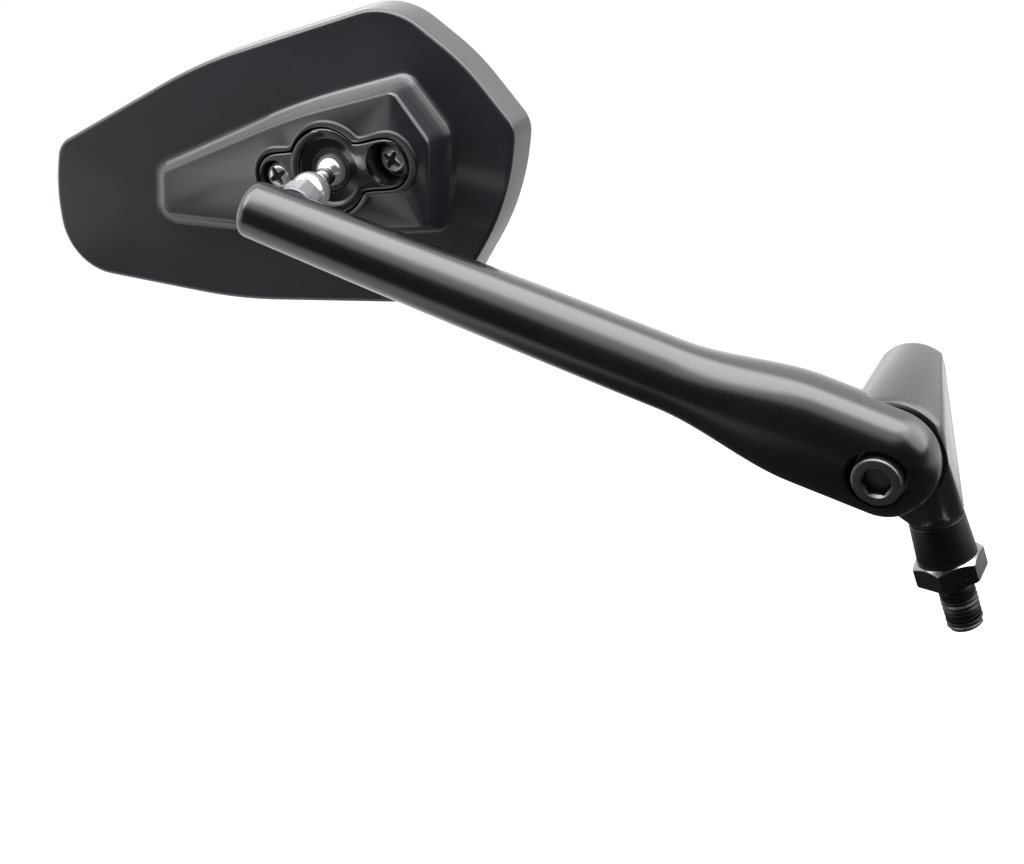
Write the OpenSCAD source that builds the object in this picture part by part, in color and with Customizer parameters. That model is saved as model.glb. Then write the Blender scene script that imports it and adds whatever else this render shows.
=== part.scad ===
// Folding handlebar mirror on a threaded stem.
// The origin is on the stem axis, in the plane where the lock nut seats.
// +Z runs up the stem, -Y is the side of the pivot bolt head, -X is the mirror side.

/* [Stem and lock nut] */
// Outside diameter of the stem thread
thread_d = 10; // [8:1:10]
// Length of the stem thread below the seat
thread_len = 15; // [12:1:30]
// Depth of the thread, on the radius
thread_depth = 0.6; // [0.5:0.05:0.8]
// Chamfer at the free end of the thread
thread_chamfer = 1; // [0.5:0.1:1.5]
// Width across the flats of the lock nut
nut_af = 17; // [16:0.5:19]
// Height of the lock nut
nut_h = 6; // [5:0.5:8]
// Turn of the lock nut about the stem
nut_turn = 32; // [0:1:59]
// Diameter of the stem collar where it meets the lock nut
collar_bottom_d = 16; // [14:0.5:18]
// Diameter of the stem collar at its top
collar_top_d = 14.8; // [13:0.2:16]
// Height of the stem collar
collar_h = 11.6; // [8:0.2:16]
// Diameter of the plain spigot on which the base turns
spigot_d = 11; // [10.6:0.2:11.4]
// Length of the spigot above the collar
spigot_len = 18; // [14:0.5:19]
// Depth of the groove that the set screw runs in
groove_depth = 0.8; // [0.5:0.1:1.2]
// Width of the groove that the set screw runs in
groove_w = 5.4; // [5.2:0.1:6.5]
// Height of the groove centre above the collar
groove_z = 7.5; // [6:0.5:9]
// Thickness of the washer between the collar and the base
swivel_washer_t = 0.8; // [0.5:0.1:1.5]

/* [Base knuckle] */
// Height of the pivot axis above the seat
pivot_z = 44.85; // [43:0.05:50]
// Diameter of the base at its lower end
base_neck_d = 15.2; // [14:0.2:17]
// Height of the straight part of the neck
base_neck_h = 2.4; // [1:0.2:4]
// Radius of the knuckle top about the pivot axis
knuckle_r = 16.6; // [15.5:0.1:17]
// Radius of the knuckle front edge about the pivot axis
knuckle_front_r = 14.3; // [13.5:0.1:15]
// Depth of the bevel behind the knuckle front edge
knuckle_bevel = 3; // [1.5:0.5:5]
// Reach of the knuckle top to the outer side, behind its front bevel
knuckle_out_w = 14.1; // [13:0.1:14.3]
// Reach of the knuckle top to the arm side, behind its front bevel
knuckle_in_w = 10.4; // [10:0.1:12]
// Reach of the knuckle behind the stem axis
knuckle_back = 18.3; // [16:0.1:19]
// Radius of the round top at the back of the knuckle
horn_r = 10.8; // [10:0.1:12]
// Offset of that round top towards the arm side
horn_shift = 2.1; // [1:0.1:3]
// Height of the centre of that round top over the pivot axis
horn_rise = 4; // [3:0.1:5]
// Reach of that round top to the outer side of its centre
horn_out_w = 8.5; // [8:0.1:9.5]
// Reach of that round top to the arm side of its centre
horn_in_w = 7.5; // [7:0.1:9]
// Diameter of the set screw
set_screw_d = 5; // [4:0.5:5]
// Length of the set screw
set_screw_len = 4; // [3:0.5:5]

/* [Pivot] */
// Diameter of the pivot bolt
bolt_d = 8; // [6:1:9]
// Diameter of the pivot bolt head
bolt_head_d = 13.4; // [12:0.2:14.4]
// Height of the pivot bolt head
bolt_head_h = 5; // [4:0.5:6]
// Width across the flats of the socket in the bolt head
bolt_socket_af = 7; // [5:0.5:8]
// Depth of the socket in the bolt head
bolt_socket_depth = 3; // [2:0.2:3.6]
// How far the thread of the bolt reaches into the base
bolt_reach = 20; // [14:0.5:22]
// Diameter of the counterbore round the bolt head
counterbore_d = 16.4; // [15.6:0.2:17]
// Thickness of the arm between the counterbore and the lap face
cheek_web = 6.5; // [6:0.1:7]
// Height of the stack of disc springs under the bolt head
spring_stack_h = 1.8; // [1.4:0.1:2.6]
// Number of disc springs
spring_count = 2; // [1:1:3]
// Outside diameter of the pivot bush
bush_d = 11; // [11:0.5:13]
// Thickness of the friction washer between arm and base
friction_washer_t = 0.8; // [0.6:0.1:1.2]
// Outside diameter of the friction washer
friction_washer_d = 23; // [18:0.5:25]

/* [Arm] */
// Distance from the pivot axis to the end of the arm
arm_len = 180.7; // [179:0.1:200]
// Rise of the arm above the horizontal
arm_angle = 30.1; // [10:0.1:50]
// Distance of the stem axis behind the axis of the arm
arm_offset = 18.8; // [18.4:0.1:20]
// Distance of the lap face behind the axis of the arm
lap_offset = 2; // [1:0.1:3]
// Radius of the arm at its free end
arm_end_r = 7.6; // [7:0.1:8.4]
// Radius of the arm where the knuckle begins
arm_root_r = 9.4; // [9:0.1:10]
// Radius of the arm knuckle about the pivot axis
arm_knuckle_r = 14.4; // [14:0.1:15]
// Reach of the arm knuckle past the pivot axis
arm_nose_r = 13.4; // [13:0.1:14.4]
// Reach of the arm knuckle in front of the arm axis
arm_front_r = 10.8; // [10.4:0.1:12]
// Distance from the pivot axis at which the flare begins
flare_start = 60; // [50:1:70]
// Distance from the pivot axis at which the flare is full
flare_end = 22; // [16:1:28]
// Radius of the rounded edge at the end of the arm
arm_end_round = 3; // [1:0.25:3.5]
// Gap between the shoulder of the arm and the base knuckle
shoulder_gap = 1.1; // [0.6:0.1:1.6]

/* [Ball stud] */
// Distance from the pivot axis to the stud along the arm
stud_pos = 170.2; // [160:0.2:171]
// Distance of the ball centre behind the axis of the arm
ball_offset = 31.6; // [28:0.2:36]
// Diameter of the ball
ball_d = 9; // [8:0.2:10]
// Diameter of the neck in front of the ball
neck_d = 5.2; // [4:0.2:5.6]
// Diameter of the domed shoulder of the stud
dome_d = 9.8; // [9:0.2:11]
// Distance from the ball centre to the centre of the dome
dome_pos = 13.5; // [12:0.5:15]
// Width across the flats of the stud hexagon
stud_af = 10; // [9:0.5:11]
// Diameter of the stud thread in the arm
stud_thread_d = 6; // [5:0.5:8]
// Depth of the stud thread in the arm
stud_depth = 10; // [8:0.5:11]
// Diameter of the spot face under the stud washer
spot_face_d = 13; // [12:0.5:14]
// Depth of the spot face in the back of the arm
spot_face_depth = 0.8; // [0.6:0.1:1.2]
// Thickness of the washer under the stud hexagon
stud_washer_t = 1.2; // [0.8:0.1:1.6]

/* [Head] */
// Lean of the mirror head about the ball, back from the stud axis
head_tilt = 11; // [8:0.5:20]
// Depth of the back face behind the ball centre
back_depth = 4.5; // [4:0.1:5]
// Depth of the housing from its back face to its rim
housing_depth = 10.6; // [9.4:0.1:11.4]
// Draft of the housing side wall over its depth
housing_draft = 0.5; // [0.3:0.1:1]
// Width of the bevelled edge round the back face
edge_round = 1; // [0.6:0.1:1.5]
// Thickness of the housing walls
wall = 2; // [1.6:0.1:2.4]
// Height of the boss over the ball centre at its high end
boss_high = 5.4; // [4.6:0.1:6]
// Height of the boss over the back face at its low end
boss_low = 1; // [0.6:0.1:1.6]
// Gap round the clamp plate in its pocket
pocket_gap = 0.8; // [0.6:0.1:1.2]
// Depth of the pocket floor behind the ball centre
pocket_depth = 5.2; // [5:0.1:5.6]

/* [Ball clamp] */
// Distance of each clamp screw from the ball
screw_spacing = 18; // [17:0.5:19]
// Outside diameter of the clamp ring
ring_d = 22.6; // [21:0.2:24]
// Inside diameter of the clamp ring at its lip
ring_lip_d = 17.8; // [16:0.2:18.6]
// Height of the clamp ring over the ball centre
ring_h = 4; // [3.4:0.1:5]
// Radius of the clamp ear round each screw
ear_r = 6.3; // [6:0.1:6.8]
// Drop of the ear tops below the boss
ear_drop = 1; // [0.6:0.1:1.4]
// Diameter of the counterbore over each clamp screw
ear_counterbore_d = 9.8; // [8:0.2:10]
// Thickness of the ear under the screw head
ear_web = 2; // [1.6:0.1:2.4]
// Thickness of the ball seats
seat_t = 1.7; // [1.4:0.1:2]
// Diameter of the clamp screws
screw_d = 3; // [2.5:0.5:3.5]
// Diameter of the clamp screw heads
screw_head_d = 6; // [5.4:0.2:6.6]
// Height of the clamp screw heads
screw_head_h = 1.9; // [1.6:0.1:2.2]
// Outside diameter of the threaded inserts
insert_d = 4.4; // [4:0.2:5]

/* [Glass] */
// Width of the rim lip round the glass
rim_lip = 1.6; // [1.2:0.1:2]
// Gap between the rim lip and the glass
glass_gap = 0.3; // [0.2:0.05:0.6]
// Depth below the rim of the farthest corner of the glass
glass_sink = 1.4; // [1:0.1:1.6]
// Thickness of the glass at its centre
glass_t = 2; // [1.8:0.1:2.4]
// Radius of curvature of the convex glass
glass_curve_r = 1400; // [1000:50:2000]
// Thickness of the adhesive pad behind the glass
pad_t = 0.8; // [0.5:0.1:1]
// Thickness of the carrier plate behind the pad
carrier_t = 1.2; // [1:0.1:1.4]

/* [Hidden] */
$fn = 64;
// Radial play of a running fit, and play between two flat faces that slide
play = 0.05;
face_play = 0.1;
// Overshoot of a cut past the face it opens
over = 1;
// Depth of a blind hole past the end of what goes into it
hole_play = 0.6;
// Thickness of the slices that a hull joins
slice_t = 0.5;
// Facets round a lofted arm section and round one corner of a lofted outline
arm_sides = 44;
corner_steps = 7;
// Small chamfer that breaks an edge
edge_break = 0.6;
// Rounding at the back of the knuckle, and the foot of its slices over the pivot axis
knuckle_round = 2;
slice_low = 3;

core_r = thread_d / 2 - thread_depth;
nut_sink = 0.5;
collar_z = nut_h;
collar_top_z = collar_z + collar_h;
spigot_top_z = collar_top_z + spigot_len;
groove_centre_z = collar_top_z + groove_z;
base_z = collar_top_z + swivel_washer_t + face_play;
lap_y = lap_offset - arm_offset;
base_front_y = lap_y + friction_washer_t + face_play;
counterbore_y = lap_y - cheek_web;
spring_y = counterbore_y - face_play;
bolt_under_y = spring_y - spring_stack_h;
bolt_face_y = bolt_under_y - bolt_head_h;
shoulder_r = knuckle_r + shoulder_gap;

ball_y = ball_offset - arm_offset;
ball_pos = [-stud_pos * cos(arm_angle), ball_y, pivot_z + stud_pos * sin(arm_angle)];
// Radius of the plain rod at a distance along the arm, before the flare
function rod_r(s) =
    arm_root_r - (arm_root_r - arm_end_r) * pow(max(s - flare_start, 0) / (arm_len - flare_start), 1.6);
stud_seat = ball_offset - rod_r(stud_pos) + spot_face_depth;

rim_n = -back_depth - housing_depth;
glass_face_n = rim_n + glass_sink;
pad_n = glass_face_n + glass_t;
carrier_n = pad_n + pad_t;
ledge_n = carrier_n + carrier_t;
back_n = -back_depth;
pocket_n = -pocket_depth;
seat_in_r = ball_d / 2 + play;
seat_out_r = ball_d / 2 + play + seat_t;
socket_r = seat_out_r + play;
// Half of the gap between the two ball seats, and the height of the front one
seat_split = 0.15;
seat_front_n = 1.5;
pedestal_wall = 2.1;
pedestal_r = socket_r + pedestal_wall;
ear_waist = 0.6;
screw_floor_n = pocket_n + ear_web;
screw_tip_n = ledge_n + hole_play;

// Corners of the back face outline, each as x, y and corner radius
housing_corners = [[-95.5, -18, 16.5], [-42.5, -33.5, 150], [23.5, -41.5, 14], [48, -15.5, 70],
    [54, 3, 7.5], [43, 22.5, 60], [25.5, 41, 20], [-37.5, 33, 150], [-89, 17, 7], [-94, 4, 55]];
// Corners of the boss outline where it rises from the back face
boss_corners = [[-63.5, -9, 6], [-12, -19, 200], [29, -21.5, 6], [37.5, 4.5, 9],
    [28, 22.5, 6], [-8, 19, 200], [-58.5, 8, 6]];
// Middle of the glass and the reach of its far corner
glass_centre_x = -20;
glass_reach = 78;
boss_low_x = -60;
boss_high_x = 30;

// Direction of the side that leaves corner i of an outline
function edge_dir(c, i) =
    let (n = len(c), a = c[i % n], b = c[(i + 1) % n], d = [b[0] - a[0], b[1] - a[1]])
    d / norm(d);
// Corner i of the outline moved inwards by inset
function inset_corner(c, i, inset) =
    let (n = len(c), d0 = edge_dir(c, i + n - 1), d1 = edge_dir(c, i),
         n0 = [-d0[1], d0[0]], n1 = [-d1[1], d1[0]])
    [c[i][0], c[i][1]] + inset * (n0 + n1) / (1 + n0 * n1);
// Points of a closed outline with rounded corners, counterclockwise
function outline(c, inset) = [
    for (i = [0 : len(c) - 1])
        let (n = len(c), p = inset_corner(c, i, inset), d0 = edge_dir(c, i + n - 1), d1 = edge_dir(c, i),
             turn = acos(min(1, d0 * d1)), r = max(c[i][2] - inset, 0.4),
             start = p - d0 * r * tan(turn / 2), centre = start + r * [-d0[1], d0[0]],
             a0 = atan2(-d0[0], d0[1]))
        for (k = [0 : corner_steps - 1])
            let (a = a0 + turn * k / (corner_steps - 1))
            centre + r * [cos(a), sin(a)]
];
// Closed skin over rings of points that all have the same count.
// Seen from the last ring, each ring runs counterclockwise.
module loft(rings) {
    m = len(rings[0]);
    count = len(rings);
    polyhedron(
        points = [for (ring = rings) for (p = ring) p],
        faces = concat(
            [[for (j = [0 : m - 1]) j]],
            [for (i = [0 : count - 2]) for (j = [0 : m - 1])
                [i * m + j, (i + 1) * m + j, (i + 1) * m + (j + 1) % m]],
            [for (i = [0 : count - 2]) for (j = [0 : m - 1])
                [i * m + j, (i + 1) * m + (j + 1) % m, i * m + (j + 1) % m]],
            [[for (j = [m - 1 : -1 : 0]) (count - 1) * m + j]]));
}
// A flat ring of an outline at height n
function flat_ring(c, inset, n) = [for (p = outline(c, inset)) [p[0], p[1], n]];

module about_pivot() {
    translate([0, 0, pivot_z]) rotate([90, 0, 0]) children();
}
module along_arm() {
    translate([0, 0, pivot_z]) rotate([0, arm_angle, 0]) children();
}
module at_ball_stud() {
    translate(ball_pos) rotate([90, 0, 0]) children();
}
module at_head() {
    translate(ball_pos) rotate([90 - head_tilt, 0, 0]) children();
}
module at_screws() {
    for (side = [-1, 1])
        translate([side * screw_spacing, 0, 0]) children();
}
module hexagon(af, h) {
    cylinder(d = af / cos(30), h = h, $fn = 6);
}

// Threaded stem with a conical collar and a plain spigot
module stem_adapter() {
    color("#26272a") rotate_extrude() polygon([
        [0, -thread_len], [thread_d / 2 - thread_chamfer, -thread_len],
        [thread_d / 2, thread_chamfer - thread_len], [thread_d / 2, 0],
        [core_r, 0], [core_r, collar_z],
        [collar_bottom_d / 2 - 0.4, collar_z], [collar_bottom_d / 2, collar_z + 0.4],
        [collar_top_d / 2, collar_top_z - 0.3], [collar_top_d / 2 - 0.3, collar_top_z],
        [spigot_d / 2, collar_top_z],
        [spigot_d / 2, groove_centre_z - groove_w / 2],
        [spigot_d / 2 - groove_depth, groove_centre_z - groove_w / 2],
        [spigot_d / 2 - groove_depth, groove_centre_z + groove_w / 2],
        [spigot_d / 2, groove_centre_z + groove_w / 2],
        [spigot_d / 2, spigot_top_z - 0.6], [spigot_d / 2 - 0.6, spigot_top_z], [0, spigot_top_z]]);
}
// Hexagonal nut with its corners chamfered at the top
module lock_nut() {
    color("#2b2c30") difference() {
        rotate([0, 0, nut_turn]) intersection() {
            hexagon(nut_af, nut_h);
            cylinder(r1 = nut_af / 2 + nut_h * 1.9, r2 = nut_af / 2 - 0.2, h = nut_h);
        }
        translate([0, 0, -over]) cylinder(r = core_r + play, h = nut_h + 2 * over);
        translate([0, 0, -nut_sink]) cylinder(r1 = core_r + 3 * nut_sink, r2 = core_r, h = 3 * nut_sink);
    }
}
module swivel_washer() {
    color("#1c1c1e") translate([0, 0, collar_top_z]) difference() {
        cylinder(d = collar_top_d - 1.2, h = swivel_washer_t);
        translate([0, 0, -over]) cylinder(d = spigot_d + 2 * play, h = swivel_washer_t + 2 * over);
    }
}
// Thin upright slice of the round top of the base, at y, with its reach to either side
module knuckle_slice(y, r, in_w, out_w) {
    intersection() {
        translate([0, y, 0]) about_pivot() cylinder(r = r, h = slice_t, $fn = 64);
        translate([-in_w, y - slice_t, pivot_z + slice_low]) cube([in_w + out_w, slice_t, r]);
    }
}
// Solid form of the base: a neck that flares into a round-topped knuckle
module knuckle_body() {
    hull() {
        translate([0, 0, base_z]) cylinder(d = base_neck_d, h = base_neck_h, $fn = 48);
        translate([0, base_front_y, 0]) about_pivot()
            translate([0, 0, -slice_t]) cylinder(r = knuckle_front_r, h = slice_t, $fn = 56);
        knuckle_slice(base_front_y + knuckle_bevel, knuckle_r, knuckle_in_w, knuckle_out_w);
        translate([-horn_shift, 0, horn_rise]) {
            knuckle_slice(knuckle_back - knuckle_round, horn_r, horn_in_w, horn_out_w);
            knuckle_slice(knuckle_back, horn_r - knuckle_round / 2, horn_in_w - knuckle_round / 2,
                horn_out_w - knuckle_round / 2);
        }
    }
}
module base_knuckle() {
    color("#303236") difference() {
        knuckle_body();
        translate([0, 0, base_z - over])
            cylinder(d = spigot_d + 2 * play, h = spigot_top_z + hole_play - base_z + over);
        translate([0, base_front_y + bolt_reach + 1, 0]) about_pivot()
            cylinder(d = bolt_d, h = bolt_reach + 1 + over);
        translate([0, 0, groove_centre_z]) rotate([-90, 0, 0]) cylinder(d = set_screw_d, h = 3 * base_neck_d);
    }
}
module base_set_screw() {
    color("#1e1f21") translate([0, spigot_d / 2 - groove_depth + play, groove_centre_z]) rotate([-90, 0, 0])
        difference() {
            union() {
                cylinder(d1 = set_screw_d - 1.2, d2 = set_screw_d, h = 0.6);
                translate([0, 0, 0.6]) cylinder(d = set_screw_d, h = set_screw_len - 0.6);
            }
            translate([0, 0, set_screw_len - 2]) hexagon(2.5, 2 + over);
        }
}
// Socket head bolt, drawn from the head down
module pivot_bolt() {
    shank = base_front_y + bolt_reach - bolt_under_y;
    color("#3a3b3e") translate([0, bolt_face_y, pivot_z]) rotate([-90, 0, 0]) difference() {
        rotate_extrude() polygon([
            [0, 0], [bolt_head_d / 2 - 0.7, 0], [bolt_head_d / 2, 0.7], [bolt_head_d / 2, bolt_head_h],
            [bolt_d / 2, bolt_head_h], [bolt_d / 2, bolt_head_h + shank - 1],
            [bolt_d / 2 - 1, bolt_head_h + shank], [0, bolt_head_h + shank]]);
        translate([0, 0, -over]) hexagon(bolt_socket_af, bolt_socket_depth + over);
        translate([0, 0, -0.01]) cylinder(d1 = bolt_socket_af * 1.16 + 0.8, d2 = bolt_socket_af, h = 0.8);
    }
}
// Stack of shallow cones under the bolt head
module disc_springs() {
    leaf_h = spring_stack_h / spring_count;
    color("#77787b") translate([0, spring_y, pivot_z]) rotate([90, 0, 0])
        for (i = [0 : spring_count - 1])
            translate([0, 0, i * leaf_h]) rotate_extrude() polygon([
                [bolt_d / 2 + 0.15, leaf_h * 0.45], [bolt_head_d / 2 + 0.3, 0.02],
                [bolt_head_d / 2 + 0.3, leaf_h * 0.5], [bolt_d / 2 + 0.15, leaf_h * 0.95]]);
}
module pivot_bush() {
    color("#a8874e") translate([0, lap_y - play, pivot_z]) rotate([90, 0, 0]) difference() {
        cylinder(d = bush_d, h = lap_y - counterbore_y - 2 * play);
        translate([0, 0, -over]) cylinder(d = bolt_d + 2 * play, h = lap_y - counterbore_y + 2 * over);
    }
}
module friction_washer() {
    color("#1a1a1b") translate([0, base_front_y, pivot_z]) rotate([90, 0, 0]) difference() {
        cylinder(d = friction_washer_d, h = friction_washer_t);
        translate([0, 0, -over]) cylinder(d = bolt_d, h = friction_washer_t + 2 * over);
    }
}

// Share of the flare that is reached at a distance s from the pivot
function flare(s) =
    let (t = min(max((flare_start - s) / (flare_start - flare_end), 0), 1)) t * t * (3 - 2 * t);
// Half height and half depth of the arm at s, and the squareness of its section
function arm_half_z(s) = rod_r(s) + (arm_knuckle_r - arm_root_r) * flare(s);
function arm_half_y(s) = rod_r(s) + (arm_front_r - arm_root_r) * flare(s);
function nose(s) = s >= 0 ? 1 : sqrt(max(1 - (s / arm_nose_r) ^ 2, 0));
function end_round(s) =
    let (d = max(s - (arm_len - arm_end_round), 0)) arm_end_round - sqrt(max(arm_end_round ^ 2 - d ^ 2, 0));
function signed_pow(v, e) = sign(v) * pow(abs(v), e);
function arm_ring(s) =
    let (q = 2 / (2 + 0.5 * flare(s)), hz = arm_half_z(s) * nose(s) - end_round(s),
         hy = arm_half_y(s) * pow(nose(s), 0.8) - end_round(s))
    [for (k = [0 : arm_sides - 1])
        let (a = 360 * k / arm_sides) [-s, hy * signed_pow(cos(a), q), -hz * signed_pow(sin(a), q)]];
arm_stations = concat(
    [for (k = [1 : 8]) -arm_nose_r * cos(90 * k / 9)],
    [0, 8, 16], [for (k = [0 : 10]) flare_end + (flare_start - flare_end) * k / 10],
    [for (k = [1 : 5]) flare_start + (arm_len - arm_end_round - flare_start) * k / 5],
    [for (k = [1 : 4]) arm_len - arm_end_round + arm_end_round * sin(90 * k / 4)]);

// Tapered round arm that flares into a half-lap knuckle
module arm() {
    color("#17181a") difference() {
        along_arm() translate([0, -arm_offset, 0]) loft([for (s = arm_stations) arm_ring(s)]);
        translate([0, lap_y + 2 * arm_root_r + over, 0]) about_pivot()
            cylinder(r = shoulder_r, h = 2 * arm_root_r + over);
        translate([0, counterbore_y, 0]) about_pivot() cylinder(d = counterbore_d, h = arm_offset);
        translate([0, lap_y + over, 0]) about_pivot() cylinder(d = bush_d, h = arm_offset);
        at_ball_stud() cylinder(d = spot_face_d, h = stud_seat);
        at_ball_stud() cylinder(d = stud_thread_d, h = stud_seat + stud_depth + hole_play);
    }
}
// Chromed stud: ball, neck, dome, hexagon and thread
module ball_stud() {
    hex_start = dome_pos + 4;
    hex_end = stud_seat - stud_washer_t;
    color("#d7dade") at_ball_stud() {
        sphere(d = ball_d);
        cylinder(d = neck_d, h = dome_pos);
        translate([0, 0, dome_pos]) sphere(d = dome_d);
        translate([0, 0, dome_pos]) cylinder(d = dome_d, h = hex_start - dome_pos);
        translate([0, 0, hex_start - play]) hexagon(stud_af, hex_end - hex_start + play);
        translate([0, 0, hex_start]) cylinder(d = stud_thread_d, h = stud_seat + stud_depth - hex_start);
    }
}
module stud_washer() {
    color("#c4c7ca") at_ball_stud() translate([0, 0, stud_seat - stud_washer_t]) difference() {
        cylinder(d = stud_af + 1.6, h = stud_washer_t);
        translate([0, 0, -over]) cylinder(d = stud_thread_d, h = stud_washer_t + 2 * over);
    }
}

// Spherical cup behind the ball
module ball_seat_rear() {
    color("#202022") at_head() difference() {
        sphere(r = seat_out_r);
        sphere(r = seat_in_r);
        translate([0, 0, seat_out_r - seat_split]) cube(2 * seat_out_r, center = true);
    }
}
// Spherical ring in front of the ball, under the clamp
module ball_seat_front() {
    color("#202022") at_head() difference() {
        intersection() {
            sphere(r = seat_out_r);
            translate([0, 0, seat_split]) cylinder(r = seat_out_r, h = seat_front_n - seat_split);
        }
        sphere(r = seat_in_r);
    }
}

function boss_top_n(x) =
    let (t = (x - boss_low_x) / (boss_high_x - boss_low_x), low = back_n + boss_low)
    low + (boss_high - low) * t;
// Ring of the boss at an inset, at a share of its height, lowered by drop
function boss_ring(inset, share, drop) =
    [for (p = outline(boss_corners, inset)) [p[0], p[1], back_n + share * (boss_top_n(p[0]) - back_n) - drop]];
// Outline of the clamp plate: a centre ring and an ear at each screw
module clamp_outline(grow) {
    circle(r = ring_d / 2 + grow);
    for (side = [-1, 1])
        translate([side * screw_spacing, 0]) circle(r = ear_r + grow);
    square([2 * screw_spacing, 2 * (ear_r - ear_waist + grow)], center = true);
}
// Sloping slab that trims the ears to follow the boss
module below_boss(drop) {
    low_x = -2 * screw_spacing;
    high_x = 2 * screw_spacing;
    rotate([90, 0, 0]) translate([0, 0, -2 * ring_d]) linear_extrude(4 * ring_d) polygon([
        [low_x, pocket_n - over], [high_x, pocket_n - over],
        [high_x, boss_top_n(high_x) - drop], [low_x, boss_top_n(low_x) - drop]]);
}
// Clamp plate that holds the ball in the housing
module ball_clamp() {
    pocket_floor = pocket_n + play;
    color("#121315") at_head() difference() {
        union() {
            intersection() {
                translate([0, 0, pocket_floor]) linear_extrude(3 * ring_h) clamp_outline(0);
                below_boss(ear_drop);
            }
            translate([0, 0, pocket_floor]) cylinder(d = ring_d, h = ring_h - pocket_floor - edge_break);
            translate([0, 0, ring_h - edge_break])
                cylinder(d1 = ring_d, d2 = ring_d - 2 * edge_break, h = edge_break);
        }
        translate([0, 0, pocket_n - over]) cylinder(r = pedestal_r + 0.3, h = over - pocket_n - seat_split);
        sphere(r = socket_r);
        translate([0, 0, seat_front_n]) cylinder(r1 = socket_r - 0.2, r2 = ring_lip_d / 2 - 0.7, h = 1);
        translate([0, 0, seat_front_n + 0.99]) cylinder(d1 = ring_lip_d - 1.4, d2 = ring_lip_d, h = ring_h);
        at_screws() {
            translate([0, 0, screw_floor_n]) cylinder(d = ear_counterbore_d, h = 4 * ring_h);
            translate([0, 0, pocket_n - over]) cylinder(d = screw_d + 0.4, h = 4 * over + ear_web);
        }
    }
}
module cross_recess() {
    for (turn = [0, 90])
        rotate([0, 0, turn]) translate([0, 0, screw_head_h])
            cube([screw_head_d * 0.56, 0.8, 2.2], center = true);
}
// Pan head screws with cross recesses
module clamp_screws() {
    color("#cfd2d6") at_head() at_screws() translate([0, 0, screw_floor_n]) difference() {
        union() {
            cylinder(d = screw_head_d, h = screw_head_h * 0.55);
            translate([0, 0, screw_head_h * 0.55])
                cylinder(d1 = screw_head_d, d2 = screw_head_d * 0.66, h = screw_head_h * 0.45);
            translate([0, 0, screw_tip_n - screw_floor_n])
                cylinder(d = screw_d, h = screw_floor_n - screw_tip_n + screw_head_h / 2);
        }
        rotate([0, 0, 20]) cross_recess();
    }
}
module clamp_inserts() {
    color("#b08d3f") at_head() at_screws() translate([0, 0, ledge_n]) difference() {
        cylinder(d = insert_d, h = pocket_n - ledge_n);
        translate([0, 0, -over]) cylinder(d = screw_d, h = pocket_n - ledge_n + 2 * over);
    }
}

// Outside of the housing: bevelled back, drafted side wall and wedge boss
module housing_form() {
    loft([flat_ring(housing_corners, -housing_draft, rim_n),
        flat_ring(housing_corners, -0.15, back_n - edge_round),
        flat_ring(housing_corners, 0.25, back_n - 0.35 * edge_round),
        flat_ring(housing_corners, edge_round, back_n)]);
    loft([boss_ring(-0.6, 0, over), boss_ring(0.9, 0.10, 0), boss_ring(1.7, 0.32, 0),
        boss_ring(2.5, 0.68, 0), boss_ring(3.1, 0.92, 0), boss_ring(4, 1, 0)]);
}
// Inside of the housing behind the glass, with the hollow under the boss
module housing_hollow() {
    skin = wall + 1.2;
    loft([flat_ring(housing_corners, skin - housing_draft, rim_n - over),
        flat_ring(housing_corners, skin, back_n - wall)]);
    loft([boss_ring(skin, 0, wall + over), boss_ring(skin + 2.4, 1, wall - 0.4)]);
}
// Block inside the boss that the pocket is sunk into
module pocket_block() {
    intersection() {
        translate([0, 0, ledge_n]) linear_extrude(4 * ring_h) clamp_outline(pocket_gap + wall);
        loft([boss_ring(2.6, 0, back_n - ledge_n + over), boss_ring(2.6, 1, wall / 2)]);
    }
}
// Housing shell with its wedge boss, clamp pocket and ball pedestal
module mirror_housing() {
    color("#1b1e22") at_head() difference() {
        union() {
            difference() {
                housing_form();
                housing_hollow();
            }
            pocket_block();
        }
        difference() {
            translate([0, 0, pocket_n]) linear_extrude(4 * ring_h) clamp_outline(pocket_gap);
            translate([0, 0, pocket_n - over]) cylinder(r = pedestal_r, h = over - pocket_n - 2 * seat_split);
        }
        sphere(r = socket_r);
        translate([0, 0, rim_n - over]) linear_extrude(ledge_n - rim_n + over)
            polygon(outline(housing_corners, rim_lip - housing_draft));
        at_screws() translate([0, 0, ledge_n - over])
            cylinder(d = insert_d, h = pocket_n - ledge_n + 2 * over);
    }
}
// Outline of the glass and of what lies behind it
function glass_outline() = outline(housing_corners, rim_lip + glass_gap - housing_draft);
// Ring of a convex layer: the glass outline drawn in to a share of its size, bulging away from the ball
function glass_ring(share, n) =
    [for (p = glass_outline())
        let (x = share * (p[0] - glass_centre_x), y = share * p[1], far = glass_reach ^ 2)
        [glass_centre_x + x, y, n - (far - x * x - y * y) / (2 * glass_curve_r)]];
glass_shares = [0.08, 0.3, 0.5, 0.7, 0.85, 1];
module glass_carrier() {
    color("#2a2a2c") at_head() translate([0, 0, carrier_n]) linear_extrude(carrier_t)
        polygon(glass_outline());
}
// Adhesive pad that fills the hollow of the curved glass
module glass_pad() {
    color("#3a3a3a") at_head()
        loft(concat([for (share = glass_shares) glass_ring(share, pad_n)],
            [[for (p = glass_outline()) [p[0], p[1], carrier_n]]]));
}
// Convex glass of even thickness
module mirror_glass() {
    last = len(glass_shares) - 1;
    color("#aab4bd") at_head()
        loft(concat([for (share = glass_shares) glass_ring(share, glass_face_n)],
            [for (k = [last : -1 : 0]) glass_ring(glass_shares[k], pad_n - play)]));
}

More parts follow.
